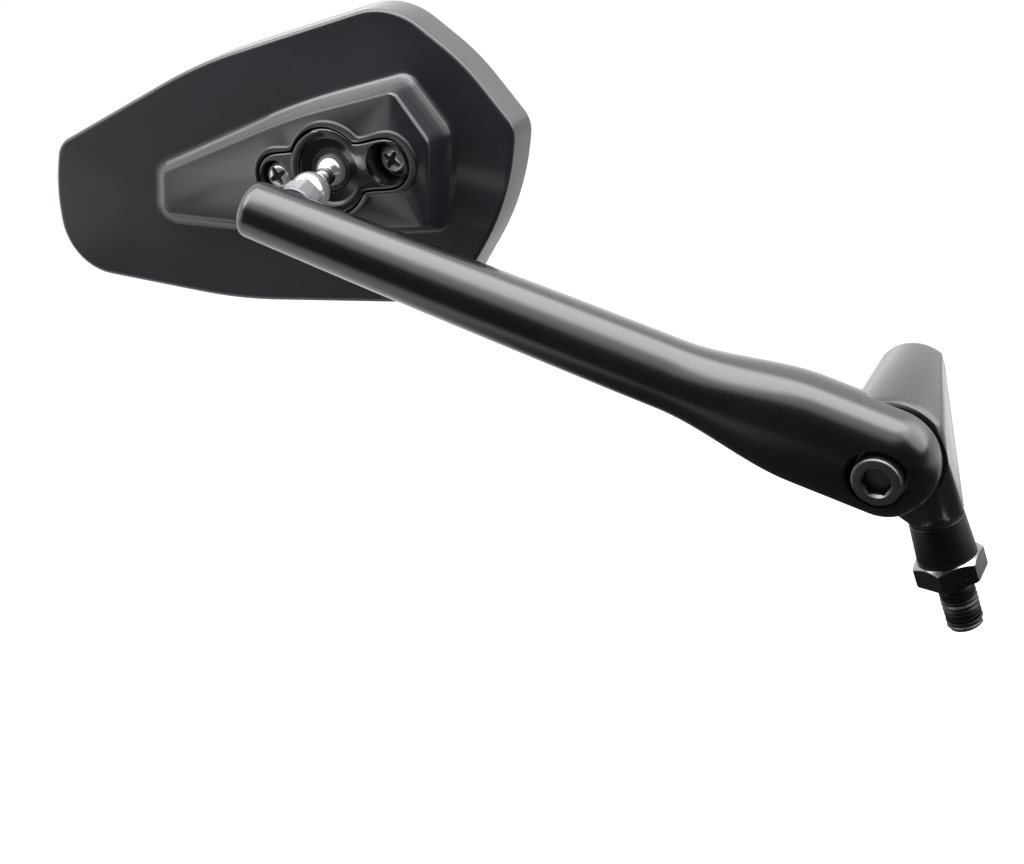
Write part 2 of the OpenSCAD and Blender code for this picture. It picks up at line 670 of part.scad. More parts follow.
stem_adapter();
lock_nut();
swivel_washer();
base_knuckle();
base_set_screw();
pivot_bolt();
disc_springs();
pivot_bush();
friction_washer();
arm();
ball_stud();
stud_washer();
ball_seat_rear();
ball_seat_front();
ball_clamp();
clamp_screws();
clamp_inserts();
mirror_housing();
glass_carrier();
glass_pad();
mirror_glass();
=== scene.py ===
"""Studio scene of a folding handlebar mirror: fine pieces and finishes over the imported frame."""

import logging
import math
from dataclasses import dataclass
from enum import Enum
from typing import Iterable, Optional, Sequence, Union

import bmesh
import bpy
import numpy as np
from mathutils import Matrix, Vector


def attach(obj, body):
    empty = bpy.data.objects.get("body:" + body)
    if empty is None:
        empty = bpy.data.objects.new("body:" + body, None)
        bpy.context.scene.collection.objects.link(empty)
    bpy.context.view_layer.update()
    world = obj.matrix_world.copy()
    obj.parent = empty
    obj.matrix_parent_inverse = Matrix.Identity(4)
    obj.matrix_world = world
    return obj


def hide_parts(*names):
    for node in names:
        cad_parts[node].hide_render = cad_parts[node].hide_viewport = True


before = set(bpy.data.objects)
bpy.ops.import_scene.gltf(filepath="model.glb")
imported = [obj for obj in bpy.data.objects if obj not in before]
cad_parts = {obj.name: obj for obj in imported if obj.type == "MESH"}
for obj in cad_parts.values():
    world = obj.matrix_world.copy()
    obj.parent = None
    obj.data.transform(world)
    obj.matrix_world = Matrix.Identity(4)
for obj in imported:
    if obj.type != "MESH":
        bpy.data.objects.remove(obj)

LOG = logging.getLogger("mirror")
MM = 0.001
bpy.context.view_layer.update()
ROW = Matrix.Identity(4)
WHITE = (1.0, 1.0, 1.0, 1.0)
Pair = tuple[float, float]
Triple = tuple[float, float, float]
Ring = list[Triple]
Profile = list[Pair]
Socket = bpy.types.NodeSocket
Tree = bpy.types.NodeTree


class Body(Enum):
    """The moving bodies that the pieces of the scene ride on."""

    STEM = "mount_stem"
    BASE = "base"
    ARM = "folding_arm"
    FRONT_SEAT = "front_seat"
    HEAD = "head"


class Cut(Enum):
    """What one solid does to another."""

    DIFFERENCE = "DIFFERENCE"
    UNION = "UNION"
    INTERSECT = "INTERSECT"


@dataclass(frozen=True)
class Datum:
    """Where the sub-assemblies stand in the row frame, in millimetres and degrees."""

    pivot_z: float = 44.85
    arm_angle: float = 30.1
    arm_offset: float = 18.8
    lap_offset: float = 2.0
    washer_gap: float = 0.9
    counterbore_web: float = 6.5
    stud_pos: float = 170.2
    ball_offset: float = 31.6
    head_lean: float = 11.0

    @property
    def lap_y(self) -> float:
        """Plane of the lap face of the arm."""
        return self.lap_offset - self.arm_offset

    @property
    def base_front_y(self) -> float:
        """Front plane of the base, behind the friction washer."""
        return self.lap_y + self.washer_gap

    @property
    def counterbore_y(self) -> float:
        """Floor of the counterbore round the bolt head."""
        return self.lap_y - self.counterbore_web

    @property
    def ball(self) -> Vector:
        """Centre of the ball."""
        a, y = math.radians(self.arm_angle), self.ball_offset - self.arm_offset
        return Vector((-self.stud_pos * math.cos(a), y, self.pivot_z + self.stud_pos * math.sin(a)))

    def pivot(self, y: float = 0.0) -> Matrix:
        """Frame on the pivot axis at a place along Y, whose +Z points at the bolt head side."""
        return Matrix.Translation((0, y, self.pivot_z)) @ Matrix.Rotation(math.pi / 2, 4, "X")

    def arm(self) -> Matrix:
        """Frame on the arm axis, whose -X runs along the arm from the pivot."""
        return (Matrix.Translation((0, 0, self.pivot_z))
                @ Matrix.Rotation(math.radians(self.arm_angle), 4, "Y")
                @ Matrix.Translation((0, -self.arm_offset, 0)))

    def stud(self) -> Matrix:
        """Frame on the ball, whose +Z runs along the stud to the arm."""
        return Matrix.Translation(self.ball) @ Matrix.Rotation(math.pi / 2, 4, "X")

    def head(self) -> Matrix:
        """Frame on the ball, whose +Z is the normal of the back of the head."""
        lean = math.radians(90 - self.head_lean)
        return Matrix.Translation(self.ball) @ Matrix.Rotation(lean, 4, "X")


DATUM = Datum()


# Node tools


def wire(tree: Tree, kind: str, props: Optional[dict] = None, **inputs: object) -> bpy.types.Node:
    """Adds a node, sets it up, and links its inputs or gives them their values.

    Args:
        tree: The tree that the node goes into.
        kind: The node's type.
        props: The node's own settings.
        **inputs: A socket or a plain value for an input, by the input's name with spaces as
            underscores, or by i and its index.

    Returns:
        The new node.
    """
    node = tree.nodes.new(kind)
    for key, value in (props or {}).items():
        setattr(node, key, value)
    for key, value in inputs.items():
        index = int(key[1:]) if key[0] == "i" and key[1:].isdigit() else key.replace("_", " ")
        if isinstance(value, Socket):
            tree.links.new(value, node.inputs[index])
        else:
            node.inputs[index].default_value = value
    return node


def maths(tree: Tree, operation: str, *terms: Union[float, Socket], clamp: bool = False) -> Socket:
    """Adds a math node.

    Args:
        tree: The tree that the node goes into.
        operation: What it works out.
        *terms: Its inputs in order, each a socket or a plain number.
        clamp: Whether the result is kept between 0 and 1.

    Returns:
        The result.
    """
    inputs = {f"i{index}": term for index, term in enumerate(terms)}
    return wire(tree, "ShaderNodeMath", {"operation": operation, "use_clamp": clamp}, **inputs).outputs[0]


def remap(tree: Tree, value: Socket, span: Pair, ends: Pair = (0.0, 1.0), soft: bool = False) -> Socket:
    """Maps a span of a value to another span, and keeps to its ends outside it.

    Args:
        tree: The tree that the node goes into.
        value: The value.
        span: Where the value starts and stops to count.
        ends: What it becomes at either end of the span.
        soft: Whether it eases in and out.

    Returns:
        The mapped value.
    """
    return wire(tree, "ShaderNodeMapRange", {"interpolation_type": "SMOOTHSTEP" if soft else "LINEAR"},
                Value=value, From_Min=span[0], From_Max=span[1], To_Min=ends[0],
                To_Max=ends[1]).outputs[0]


def along(tree: Tree, place: Socket, way: Triple) -> Socket:
    """How far a place or a direction reaches along a way."""
    return wire(tree, "ShaderNodeVectorMath", {"operation": "DOT_PRODUCT"}, i0=place,
                i1=way).outputs["Value"]


def noise(tree: Tree, place: Socket, scale: Socket, detail: float, roughness: float = 0.5) -> Socket:
    """Cloudy noise over a place."""
    return wire(tree, "ShaderNodeTexNoise", Vector=place, Scale=scale, Detail=detail,
                Roughness=roughness).outputs[0]


def dots(tree: Tree, place: Socket, scale: float, edge: Pair) -> Socket:
    """Round dots at random places, with the start and the end of their edge."""
    cells = wire(tree, "ShaderNodeTexVoronoi", Vector=place, Scale=scale)
    return remap(tree, cells.outputs["Distance"], edge, (1.0, 0.0))


def ray_masks(tree: Tree) -> tuple[Socket, Socket]:
    """Masks of the rays that see the background directly, and of those that mirror it."""
    ray = wire(tree, "ShaderNodeLightPath").outputs
    return maths(tree, "MAXIMUM", ray["Is Camera Ray"], ray["Is Transmission Ray"]), ray["Is Glossy Ray"]


def glow(tree: Tree, strength: Union[float, Socket]) -> Socket:
    """White light of a strength."""
    return wire(tree, "ShaderNodeEmission", Color=WHITE, Strength=strength).outputs[0]


# Shader groups and finishes


def shader_group(name: str, inputs: Sequence[tuple[str, float]],
                 outputs: Sequence[str]) -> tuple[Tree, bpy.types.Node, bpy.types.Node]:
    """Starts a shader node group with a vector input, float inputs and float outputs.

    Args:
        name: Name of the group.
        inputs: Names and defaults of its float inputs.
        outputs: Names of its float outputs.

    Returns:
        The tree with its input node and its output node.
    """
    tree = bpy.data.node_groups.new(name, "ShaderNodeTree")
    tree.interface.new_socket(name="Place", in_out="INPUT", socket_type="NodeSocketVector")
    for label, default in inputs:
        socket = tree.interface.new_socket(name=label, in_out="INPUT", socket_type="NodeSocketFloat")
        socket.default_value = default
    for label in outputs:
        tree.interface.new_socket(name=label, in_out="OUTPUT", socket_type="NodeSocketFloat")
    return tree, tree.nodes.new("NodeGroupInput"), tree.nodes.new("NodeGroupOutput")


def paint_skin_group() -> Tree:
    """Builds the fine texture of baked paint.

    Returns:
        The group, with orange peel as Height, a cloudy Sheen and specks of Dust.
    """
    tree, src, out = shader_group("paint_skin", [("Peel", 900.0), ("Cloud", 30.0), ("Speck", 0.3)],
                                  ["Height", "Sheen", "Dust"])
    place = src.outputs["Place"]
    cloud = noise(tree, place, src.outputs["Cloud"], 4.0, 0.6)
    dust = maths(tree, "MULTIPLY", dots(tree, place, 420.0, (0.0, 0.12)), src.outputs["Speck"])
    tree.links.new(noise(tree, place, src.outputs["Peel"], 3.0), out.inputs["Height"])
    tree.links.new(cloud, out.inputs["Sheen"])
    tree.links.new(maths(tree, "MULTIPLY", dust, cloud), out.inputs["Dust"])
    return tree


def metal_skin_group() -> Tree:
    """Builds the fine texture of plated or turned metal.

    Returns:
        The group, with a grain brushed round Z as Height, Smears and Pits.
    """
    tree, src, out = shader_group("metal_skin", [("Grain", 1400.0), ("Smear", 60.0)],
                                  ["Height", "Smears", "Pits"])
    place = src.outputs["Place"]
    brushed = wire(tree, "ShaderNodeVectorMath", {"operation": "MULTIPLY"}, i0=place,
                   i1=(0.12, 0.12, 1.0)).outputs[0]
    tree.links.new(noise(tree, brushed, src.outputs["Grain"], 2.0), out.inputs["Height"])
    tree.links.new(noise(tree, place, src.outputs["Smear"], 5.0, 0.65), out.inputs["Smears"])
    tree.links.new(dots(tree, place, 900.0, (0.05, 0.2)), out.inputs["Pits"])
    return tree


@dataclass(frozen=True)
class Finish:
    """One finish: its two shades and its shine, and how strongly the fine texture shows."""

    name: str
    colour: Triple
    second: Triple
    roughness: Pair
    metallic: float = 0.0
    coat: float = 0.0
    coat_roughness: float = 0.05
    bump_mm: float = 0.004
    texture: float = 900.0
    cloud: float = 30.0
    cloud_span: Pair = (0.3, 0.7)
    dust: float = 0.0
    dust_roughness: float = 0.25
    edge_mm: float = 0.25

    @property
    def plated(self) -> bool:
        """Whether the finish is a bare or plated metal."""
        return self.metallic > 0.5

    def skin(self, tree: Tree) -> tuple[bpy.types.Node, Socket, Socket]:
        """Places the shared fine texture of paint or metal in the material.

        Args:
            tree: The material's tree.

        Returns:
            The group's node, its clouds and its specks.
        """
        if self.plated:
            kind, build, values = "metal_skin", metal_skin_group, (self.texture, self.cloud)
        else:
            kind, build, values = "paint_skin", paint_skin_group, (self.texture, self.cloud, self.dust)
        group = bpy.data.node_groups.get(kind) or build()
        numbers = {f"i{index + 1}": value for index, value in enumerate(values)}
        place = wire(tree, "ShaderNodeTexCoord").outputs["Object"]
        node = wire(tree, "ShaderNodeGroup", {"node_tree": group}, Place=place, **numbers)
        return node, node.outputs[1], node.outputs[2]

    def material(self) -> bpy.types.Material:
        """Builds the material, or finds it if it is built already.

        Returns:
            The material.
        """
        made = bpy.data.materials.get(self.name)
        if made is not None:
            return made
        made = bpy.data.materials.new(self.name)
        made.use_nodes = True
        tree = made.node_tree
        tree.nodes.clear()
        skin, clouds, specks = self.skin(tree)
        tint = wire(tree, "ShaderNodeMix", {"data_type": "RGBA"}, i0=remap(tree, clouds, self.cloud_span),
                    i6=(*self.colour, 1.0), i7=(*self.second, 1.0)).outputs[2]
        rough = maths(tree, "MULTIPLY_ADD", specks, self.dust_roughness,
                      remap(tree, clouds, self.cloud_span, self.roughness), clamp=True)
        eased_edge = wire(tree, "ShaderNodeBevel", {"samples": 4}, Radius=self.edge_mm * MM).outputs[0]
        bump = wire(tree, "ShaderNodeBump", Strength=1.0, Distance=self.bump_mm * MM,
                    Height=skin.outputs["Height"], Normal=eased_edge).outputs[0]
        shader = wire(tree, "ShaderNodeBsdfPrincipled", Metallic=self.metallic, Coat_Weight=self.coat,
                      Coat_Roughness=self.coat_roughness, Base_Color=tint, Roughness=rough, Normal=bump)
        wire(tree, "ShaderNodeOutputMaterial", Surface=shader.outputs[0])
        return made


ARM_PAINT = Finish("arm_paint", (0.004, 0.004, 0.005), (0.006, 0.006, 0.007), (0.27, 0.32),
                   coat=1.0, coat_roughness=0.14, texture=1500.0, dust=0.4)
CLAMP_PAINT = Finish("clamp_paint", (0.007, 0.007, 0.008), (0.010, 0.010, 0.011), (0.16, 0.22),
                     coat=1.0, coat_roughness=0.1, texture=1300.0, dust=0.3)
HOUSING_PAINT = Finish("housing_paint", (0.012, 0.014, 0.018), (0.016, 0.018, 0.023), (0.34, 0.4),
                       coat=1.0, coat_roughness=0.11, bump_mm=0.006, texture=1100.0, dust=0.4)
BASE_PAINT = Finish("base_paint", (0.005, 0.005, 0.006), (0.007, 0.007, 0.008), (0.28, 0.34),
                    coat=1.0, coat_roughness=0.14, texture=1500.0, dust=0.3)
STEM_BLACK = Finish("stem_black_oxide", (0.03, 0.03, 0.034), (0.05, 0.05, 0.055), (0.28, 0.38),
                    metallic=0.9)
NUT_BLACK = Finish("nut_black_zinc", (0.26, 0.26, 0.265), (0.32, 0.32, 0.325), (0.14, 0.2),
                   metallic=1.0, bump_mm=0.002)
BOLT_STEEL = Finish("bolt_dark_steel", (0.12, 0.12, 0.125), (0.17, 0.17, 0.175), (0.26, 0.36),
                    metallic=0.85)
CHROME = Finish("chrome_plate", (0.92, 0.93, 0.95), (0.84, 0.86, 0.89), (0.08, 0.13), metallic=0.72,
                bump_mm=0.002, edge_mm=0.12)
SCREW_CHROME = Finish("screw_chrome", (0.92, 0.93, 0.95), (0.82, 0.83, 0.85), (0.12, 0.2),
                      metallic=0.68, bump_mm=0.002, edge_mm=0.1)
ZINC = Finish("zinc_plate", (0.6, 0.61, 0.63), (0.5, 0.51, 0.54), (0.25, 0.35), metallic=1.0)
SPRING_STEEL = Finish("spring_steel", (0.4, 0.4, 0.42), (0.3, 0.3, 0.31), (0.3, 0.4), metallic=1.0)
BRONZE = Finish("bush_bronze", (0.45, 0.30, 0.12), (0.36, 0.23, 0.09), (0.35, 0.5), metallic=1.0)
BRASS = Finish("insert_brass", (0.62, 0.46, 0.17), (0.5, 0.36, 0.12), (0.28, 0.4), metallic=1.0)
SEAT_BLACK = Finish("seat_black", (0.006, 0.006, 0.006), (0.009, 0.009, 0.009), (0.4, 0.5),
                    texture=1800.0)
NYLON = Finish("black_nylon", (0.014, 0.014, 0.015), (0.02, 0.02, 0.021), (0.45, 0.55),
               bump_mm=0.01, texture=1800.0)
FRICTION = Finish("friction_ring", (0.011, 0.011, 0.011), (0.018, 0.018, 0.018), (0.6, 0.75),
                  bump_mm=0.02, texture=2500.0)
FOAM = Finish("pad_foam", (0.03, 0.03, 0.03), (0.05, 0.05, 0.05), (0.8, 0.95), bump_mm=0.05,
              texture=2600.0, cloud=400.0)
CARRIER = Finish("carrier_plastic", (0.016, 0.016, 0.017), (0.022, 0.022, 0.023), (0.5, 0.6),
                 bump_mm=0.01)
MIRROR = Finish("mirror_silver", (0.80, 0.83, 0.85), (0.79, 0.82, 0.845), (0.01, 0.02),
                metallic=1.0, bump_mm=0.0, cloud=8.0, edge_mm=0.3)


# Mesh tools


class Skin:
    """Collects rings of points and joins them to one closed mesh, in millimetres."""

    def __init__(self) -> None:
        """Starts an empty mesh."""
        self.bm = bmesh.new()

    def ring(self, points: Iterable[Sequence[float]]) -> list:
        """Adds a closed ring of points and returns its vertices."""
        return [self.bm.verts.new(p) for p in points]

    def band(self, low: list, high: list) -> None:
        """Joins two rings that have the same count with quads.

        Args:
            low: Vertices of the one ring.
            high: Vertices of the other ring.
        """
        for i, j in enumerate([*range(1, len(low)), 0]):
            self.bm.faces.new((low[i], low[j], high[j], high[i]))

    def stack(self, rings: Sequence[Sequence[Sequence[float]]]) -> tuple[list, list]:
        """Adds rings and joins each to the next.

        Args:
            rings: The points of each ring.

        Returns:
            The vertices of the first ring and of the last one.
        """
        made = [self.ring(r) for r in rings]
        for low, high in zip(made, made[1:]):
            self.band(low, high)
        return made[0], made[-1]

    def cap(self, ring: list) -> None:
        """Closes a convex ring with one face."""
        self.bm.faces.new(ring)

    def plate(self, *rings: list) -> None:
        """Fills the area between an outer ring and the rings inside it.

        Args:
            *rings: Vertices of each ring.
        """
        edges = []
        for ring in rings:
            for pair in zip(ring, ring[1:] + ring[:1]):
                edges.append(self.bm.edges.get(pair) or self.bm.edges.new(pair))
        bmesh.ops.triangle_fill(self.bm, edges=edges, use_beauty=True)

    def wrap(self, points: Iterable[Sequence[float]], flat: float) -> None:
        """Wraps a convex skin round points.

        Args:
            points: The points.
            flat: Angle in degrees under which neighbouring faces become one.
        """
        self.ring(points)
        made = bmesh.ops.convex_hull(self.bm, input=self.bm.verts)
        inside = list({*made["geom_interior"], *made["geom_unused"]})
        bmesh.ops.delete(self.bm, geom=inside, context="VERTS")
        bmesh.ops.dissolve_limit(self.bm, angle_limit=math.radians(flat), verts=self.bm.verts,
                                 edges=self.bm.edges)

    def done(self, name: str, place: Matrix = ROW) -> bpy.types.Object:
        """Turns the mesh into an object at the origin.

        Args:
            name: Name of the piece.
            place: Frame that the points are in, in millimetres.

        Returns:
            The new object, in metres, with its place in its mesh.
        """
        bmesh.ops.remove_doubles(self.bm, verts=self.bm.verts, dist=1e-4)
        bmesh.ops.transform(self.bm, matrix=Matrix.Scale(MM, 4) @ place, verts=self.bm.verts)
        bmesh.ops.recalc_face_normals(self.bm, faces=self.bm.faces)
        mesh = bpy.data.meshes.new(name)
        self.bm.to_mesh(mesh)
        self.bm.free()
        piece = bpy.data.objects.new(name, mesh)
        bpy.context.scene.collection.objects.link(piece)
        return piece


def circle(radius: float, height: float, count: int = 96) -> Ring:
    """Points of a circle about Z at a height."""
    turn = [2 * math.pi * i / count for i in range(count)]
    return [(radius * math.cos(a), radius * math.sin(a), height) for a in turn]


def turned(name: str, profile: Sequence[Pair], place: Matrix = ROW, count: int = 96) -> bpy.types.Object:
    """A lathe piece: a profile of (radius, height) turned about Z.

    Args:
        name: Name of the piece.
        profile: Radius and height of each step. A radius of 0 closes the end in a point.
        place: Frame of the piece in millimetres.
        count: Number of sides.

    Returns:
        The closed piece.
    """
    skin = Skin()
    previous: list = []
    for radius, height in profile:
        now = skin.ring(circle(radius, height, count) if radius > 1e-6 else [(0, 0, height)])
        if len(previous) == len(now):
            skin.band(previous, now)
        elif previous:
            point, ring = (now[0], previous) if len(now) == 1 else (previous[0], now)
            for a, b in zip(ring, ring[1:] + ring[:1]):
                skin.cap((a, b, point))
        previous = now
    return skin.done(name, place)


def eased(corner: Pair, before: Pair, after: Pair, radius: float, steps: int = 4) -> Profile:
    """Rounds one corner of a profile.

    Args:
        corner: The sharp corner.
        before: The profile's point before it.
        after: The profile's point after it.
        radius: How far from the corner the rounding starts.
        steps: Number of steps of the rounding.

    Returns:
        The points that take the corner's place.
    """
    c, b, a = Vector(corner), Vector(before), Vector(after)
    start = c + (b - c).normalized() * min(radius, (b - c).length / 2)
    end = c + (a - c).normalized() * min(radius, (a - c).length / 2)
    points = []
    for i in range(steps + 1):
        t = i / steps
        p = start * (1 - t) ** 2 + c * 2 * t * (1 - t) + end * t ** 2
        points.append((p.x, p.y))
    return points


def eased_profile(corners: Sequence[Triple]) -> Profile:
    """Rounds the corners of a lathe profile.

    Args:
        corners: Radius, height and rounding of each corner.

    Returns:
        Radius and height of each step of the rounded profile.
    """
    points: Profile = []
    last = len(corners) - 1
    for i, (r, h, ease) in enumerate(corners):
        if 0 < i < last and ease > 0:
            points += eased((r, h), corners[i - 1][:2], corners[i + 1][:2], ease)
        else:
            points.append((r, h))
    return points


def prism(name: str, outline: Sequence[Pair], low: float, high: float,
          place: Matrix = ROW) -> bpy.types.Object:
    """A straight prism over a flat outline.

    Args:
        name: Name of the piece.
        outline: Points of the outline.
        low: Height of its bottom.
        high: Height of its top.
        place: Frame of the piece in millimetres.

    Returns:
        The closed piece.
    """
    skin = Skin()
    bottom, top = skin.stack([[(x, y, z) for x, y in outline] for z in (low, high)])
    skin.cap(bottom[::-1])
    skin.cap(top)
    return skin.done(name, place)


def rod(name: str, radius: float, low: float, high: float, place: Matrix = ROW,
        count: int = 96) -> bpy.types.Object:
    """A plain round cutter from low to high along Z."""
    return turned(name, [(0, low), (radius, low), (radius, high), (0, high)], place, count)


def hexagon(across: float, turn: float, ease: float) -> Profile:
    """Outline of a hexagon with eased corners.

    Args:
        across: Width across its flats.
        turn: Direction of its first corner in degrees.
        ease: How far from a corner its rounding starts.

    Returns:
        The points of the outline.
    """
    r = across / 2 / math.cos(math.pi / 6)
    ways = [math.radians(turn + 60 * i) for i in range(6)]
    corners = [(r * math.cos(a), r * math.sin(a)) for a in ways]
    points = []
    for i, corner in enumerate(corners):
        points += eased(corner, corners[i - 1], corners[(i + 1) % 6], ease, 3)
    return points


def carve(piece: bpy.types.Object, tool: bpy.types.Object,
          how: Cut = Cut.DIFFERENCE) -> bpy.types.Object:
    """Cuts or joins a piece with a tool, and removes the tool.

    Args:
        piece: The piece that is changed.
        tool: The other solid.
        how: What the tool does.

    Returns:
        The same piece with its new mesh.
    """
    step = piece.modifiers.new("carve", "BOOLEAN")
    step.object, step.operation, step.solver = tool, how.value, "EXACT"
    bpy.context.view_layer.update()
    graph = bpy.context.evaluated_depsgraph_get()
    mesh = bpy.data.meshes.new_from_object(piece.evaluated_get(graph))
    piece.modifiers.remove(step)
    piece.data = mesh
    mesh.name = piece.name
    bpy.data.objects.remove(tool)
    return piece


def dress(piece: bpy.types.Object, finish: Finish, body: Body,
          stands_for: Sequence[str] = (), sharp: float = 32.0) -> bpy.types.Object:
    """Gives a finished piece its shading, finish and body, and hides the CAD nodes that it stands for.

    Args:
        piece: The piece, with its place in its mesh.
        finish: Its finish.
        body: The body that it rides on.
        stands_for: The CAD nodes that it stands for.
        sharp: Angle in degrees from which an edge shades sharp.

    Returns:
        The piece.
    """
    mesh = piece.data
    mesh.materials.clear()
    mesh.materials.append(finish.material())
    mesh.shade_smooth()
    mesh.set_sharp_from_angle(angle=math.radians(sharp))
    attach(piece, body.value)
    if stands_for:
        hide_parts(*stands_for)
    LOG.info("%s rides on %s, %d faces", piece.name, body.value, len(mesh.polygons))
    return piece


def finish_node(node: str, finish: Finish) -> None:
    """Gives a CAD node that stays shown its material.

    Args:
        node: Name of the node.
        finish: Its finish.
    """
    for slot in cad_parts[node].material_slots:
        slot.material = finish.material()
    LOG.info("%s keeps its solid, with %s", node, finish.name)


# Outlines of the head


def rounded_outline(corners: Sequence[Triple], inset: float, steps: int = 12,
                    least: float = 0.4) -> np.ndarray:
    """A closed outline with rounded corners, moved inwards by an inset.

    Args:
        corners: Corners as x, y and radius, counterclockwise.
        inset: How far the outline moves inwards.
        steps: Points round each corner.
        least: Smallest radius that a corner keeps.

    Returns:
        The points as an array of x and y.
    """
    c = np.array(corners, float)
    place, radius = c[:, :2], np.maximum(c[:, 2] - inset, least)
    side = np.roll(place, -1, 0) - place
    side /= np.linalg.norm(side, axis=1)[:, None]
    before = np.roll(side, 1, 0)
    n0, n1 = np.stack([-before[:, 1], before[:, 0]], 1), np.stack([-side[:, 1], side[:, 0]], 1)
    moved = place + inset * (n0 + n1) / (1 + (n0 * n1).sum(1))[:, None]
    turn = np.arccos(np.clip((before * side).sum(1), -1, 1))
    start = moved - before * (radius * np.tan(turn / 2))[:, None]
    centre = start + n0 * radius[:, None]
    first = np.arctan2(-before[:, 0], before[:, 1])
    share = np.linspace(0, 1, steps)
    angle = first[:, None] + turn[:, None] * share
    points = centre[:, None] + radius[:, None, None] * np.stack([np.cos(angle), np.sin(angle)], 2)
    return points.reshape(-1, 2)


def lobed_outline(lobes: Sequence[Triple], bar: float, grow: float = 0.0, count: int = 288,
                  reach_of_ease: int = 6, ease: float = 2.0) -> np.ndarray:
    """Outline round a ring and its ears, with its inner corners eased.

    Args:
        lobes: Circles as x, y and radius; the first and the last are the ears.
        bar: Half the width of the bar between the ears.
        grow: How far the outline is moved outwards.
        count: Number of points.
        reach_of_ease: How many points to either side a point is averaged with.
        ease: Spread of that average, in points.

    Returns:
        The points as an array of x and y, counterclockwise.
    """
    a = np.linspace(0, 2 * math.pi, count, endpoint=False)
    ray = np.stack([np.cos(a), np.sin(a)], 1)
    ends = np.where(ray[:, 0] < 0, -lobes[0][0], lobes[-1][0])
    reach = np.minimum((bar + grow) / np.maximum(np.abs(ray[:, 1]), 1e-9),
                       ends / np.maximum(np.abs(ray[:, 0]), 1e-9))
    for x, y, r in lobes:
        at = ray @ np.array([x, y])
        inside = at ** 2 - x * x - y * y + (r + grow) ** 2
        lobe = np.where(inside > 0, at + np.sqrt(np.maximum(inside, 0)), 0)
        reach = np.maximum(reach, lobe)
    weights = np.exp(-0.5 * (np.arange(-reach_of_ease, reach_of_ease + 1) / ease) ** 2)
    weights /= weights.sum()
    padded = np.concatenate([reach[-reach_of_ease:], reach, reach[:reach_of_ease]])
    return ray * np.convolve(padded, weights, "valid")[:, None]


def moved_in(outline: np.ndarray, inset: float) -> np.ndarray:
    """Moves a dense outline inwards along its own normals.

    Args:
        outline: The points as an array of x and y.
        inset: How far they move.

    Returns:
        The moved points.
    """
    way = np.roll(outline, -1, 0) - np.roll(outline, 1, 0)
    way /= np.linalg.norm(way, axis=1)[:, None]
    return outline + inset * np.stack([-way[:, 1], way[:, 0]], 1)


# Geometry node trees


def geometry_tree(name: str, sizes: Sequence[tuple[str, float]]) -> tuple[
        Tree, bpy.types.Node, bpy.types.Node, dict[str, str]]:
    """Starts a geometry node tree with named float inputs.

    Args:
        name: Name of the tree.
        sizes: Names and defaults of its inputs.

    Returns:
        The tree, its input node, its output node and the inputs' identifiers by name.
    """
    tree = bpy.data.node_groups.new(name, "GeometryNodeTree")
    tree.interface.new_socket(name="Geometry", in_out="INPUT", socket_type="NodeSocketGeometry")
    names = {}
    for label, default in sizes:
        socket = tree.interface.new_socket(name=label, in_out="INPUT", socket_type="NodeSocketFloat")
        socket.default_value = default
        names[label] = socket.identifier
    tree.interface.new_socket(name="Geometry", in_out="OUTPUT", socket_type="NodeSocketGeometry")
    return tree, tree.nodes.new("NodeGroupInput"), tree.nodes.new("NodeGroupOutput"), names


def end_tree(tree: Tree, out: bpy.types.Node, geometry: Socket, finish: Finish) -> None:
    """Ends a geometry node tree with real geometry that has its material.

    Args:
        tree: The tree.
        out: Its output node.
        geometry: The geometry that it makes.
        finish: Finish of that geometry.
    """
    real = wire(tree, "GeometryNodeRealizeInstances", Geometry=geometry).outputs[0]
    painted = wire(tree, "GeometryNodeSetMaterial", Geometry=real, Material=finish.material())
    tree.links.new(painted.outputs[0], out.inputs[0])


def grown(name: str, tree: Tree, names: dict[str, str], sizes: dict[str, float],
          place: Matrix) -> bpy.types.Object:
    """Runs a geometry node tree and keeps its result as a plain mesh.

    Args:
        name: Name of the piece.
        tree: The tree.
        names: Identifiers of the tree's inputs by name.
        sizes: Value of each input, in metres or as a plain number.
        place: Frame of the piece in millimetres.

    Returns:
        The new object, with its place in its mesh.
    """
    holder = bpy.data.objects.new(name, bpy.data.meshes.new(name))
    bpy.context.scene.collection.objects.link(holder)
    grow = holder.modifiers.new("grow", "NODES")
    grow.node_group = tree
    for label, value in sizes.items():
        grow[names[label]] = value
    bpy.context.view_layer.update()
    graph = bpy.context.evaluated_depsgraph_get()
    mesh = bpy.data.meshes.new_from_object(holder.evaluated_get(graph))
    holder.modifiers.remove(grow)
    holder.data = mesh
    in_metres = place.copy()
    in_metres.translation = place.translation * MM
    mesh.transform(in_metres)
    bm = bmesh.new()
    bm.from_mesh(mesh)
    bmesh.ops.remove_doubles(bm, verts=bm.verts, dist=1e-7)
    bmesh.ops.recalc_face_normals(bm, faces=bm.faces)
    bm.to_mesh(mesh)
    bm.free()
    return holder


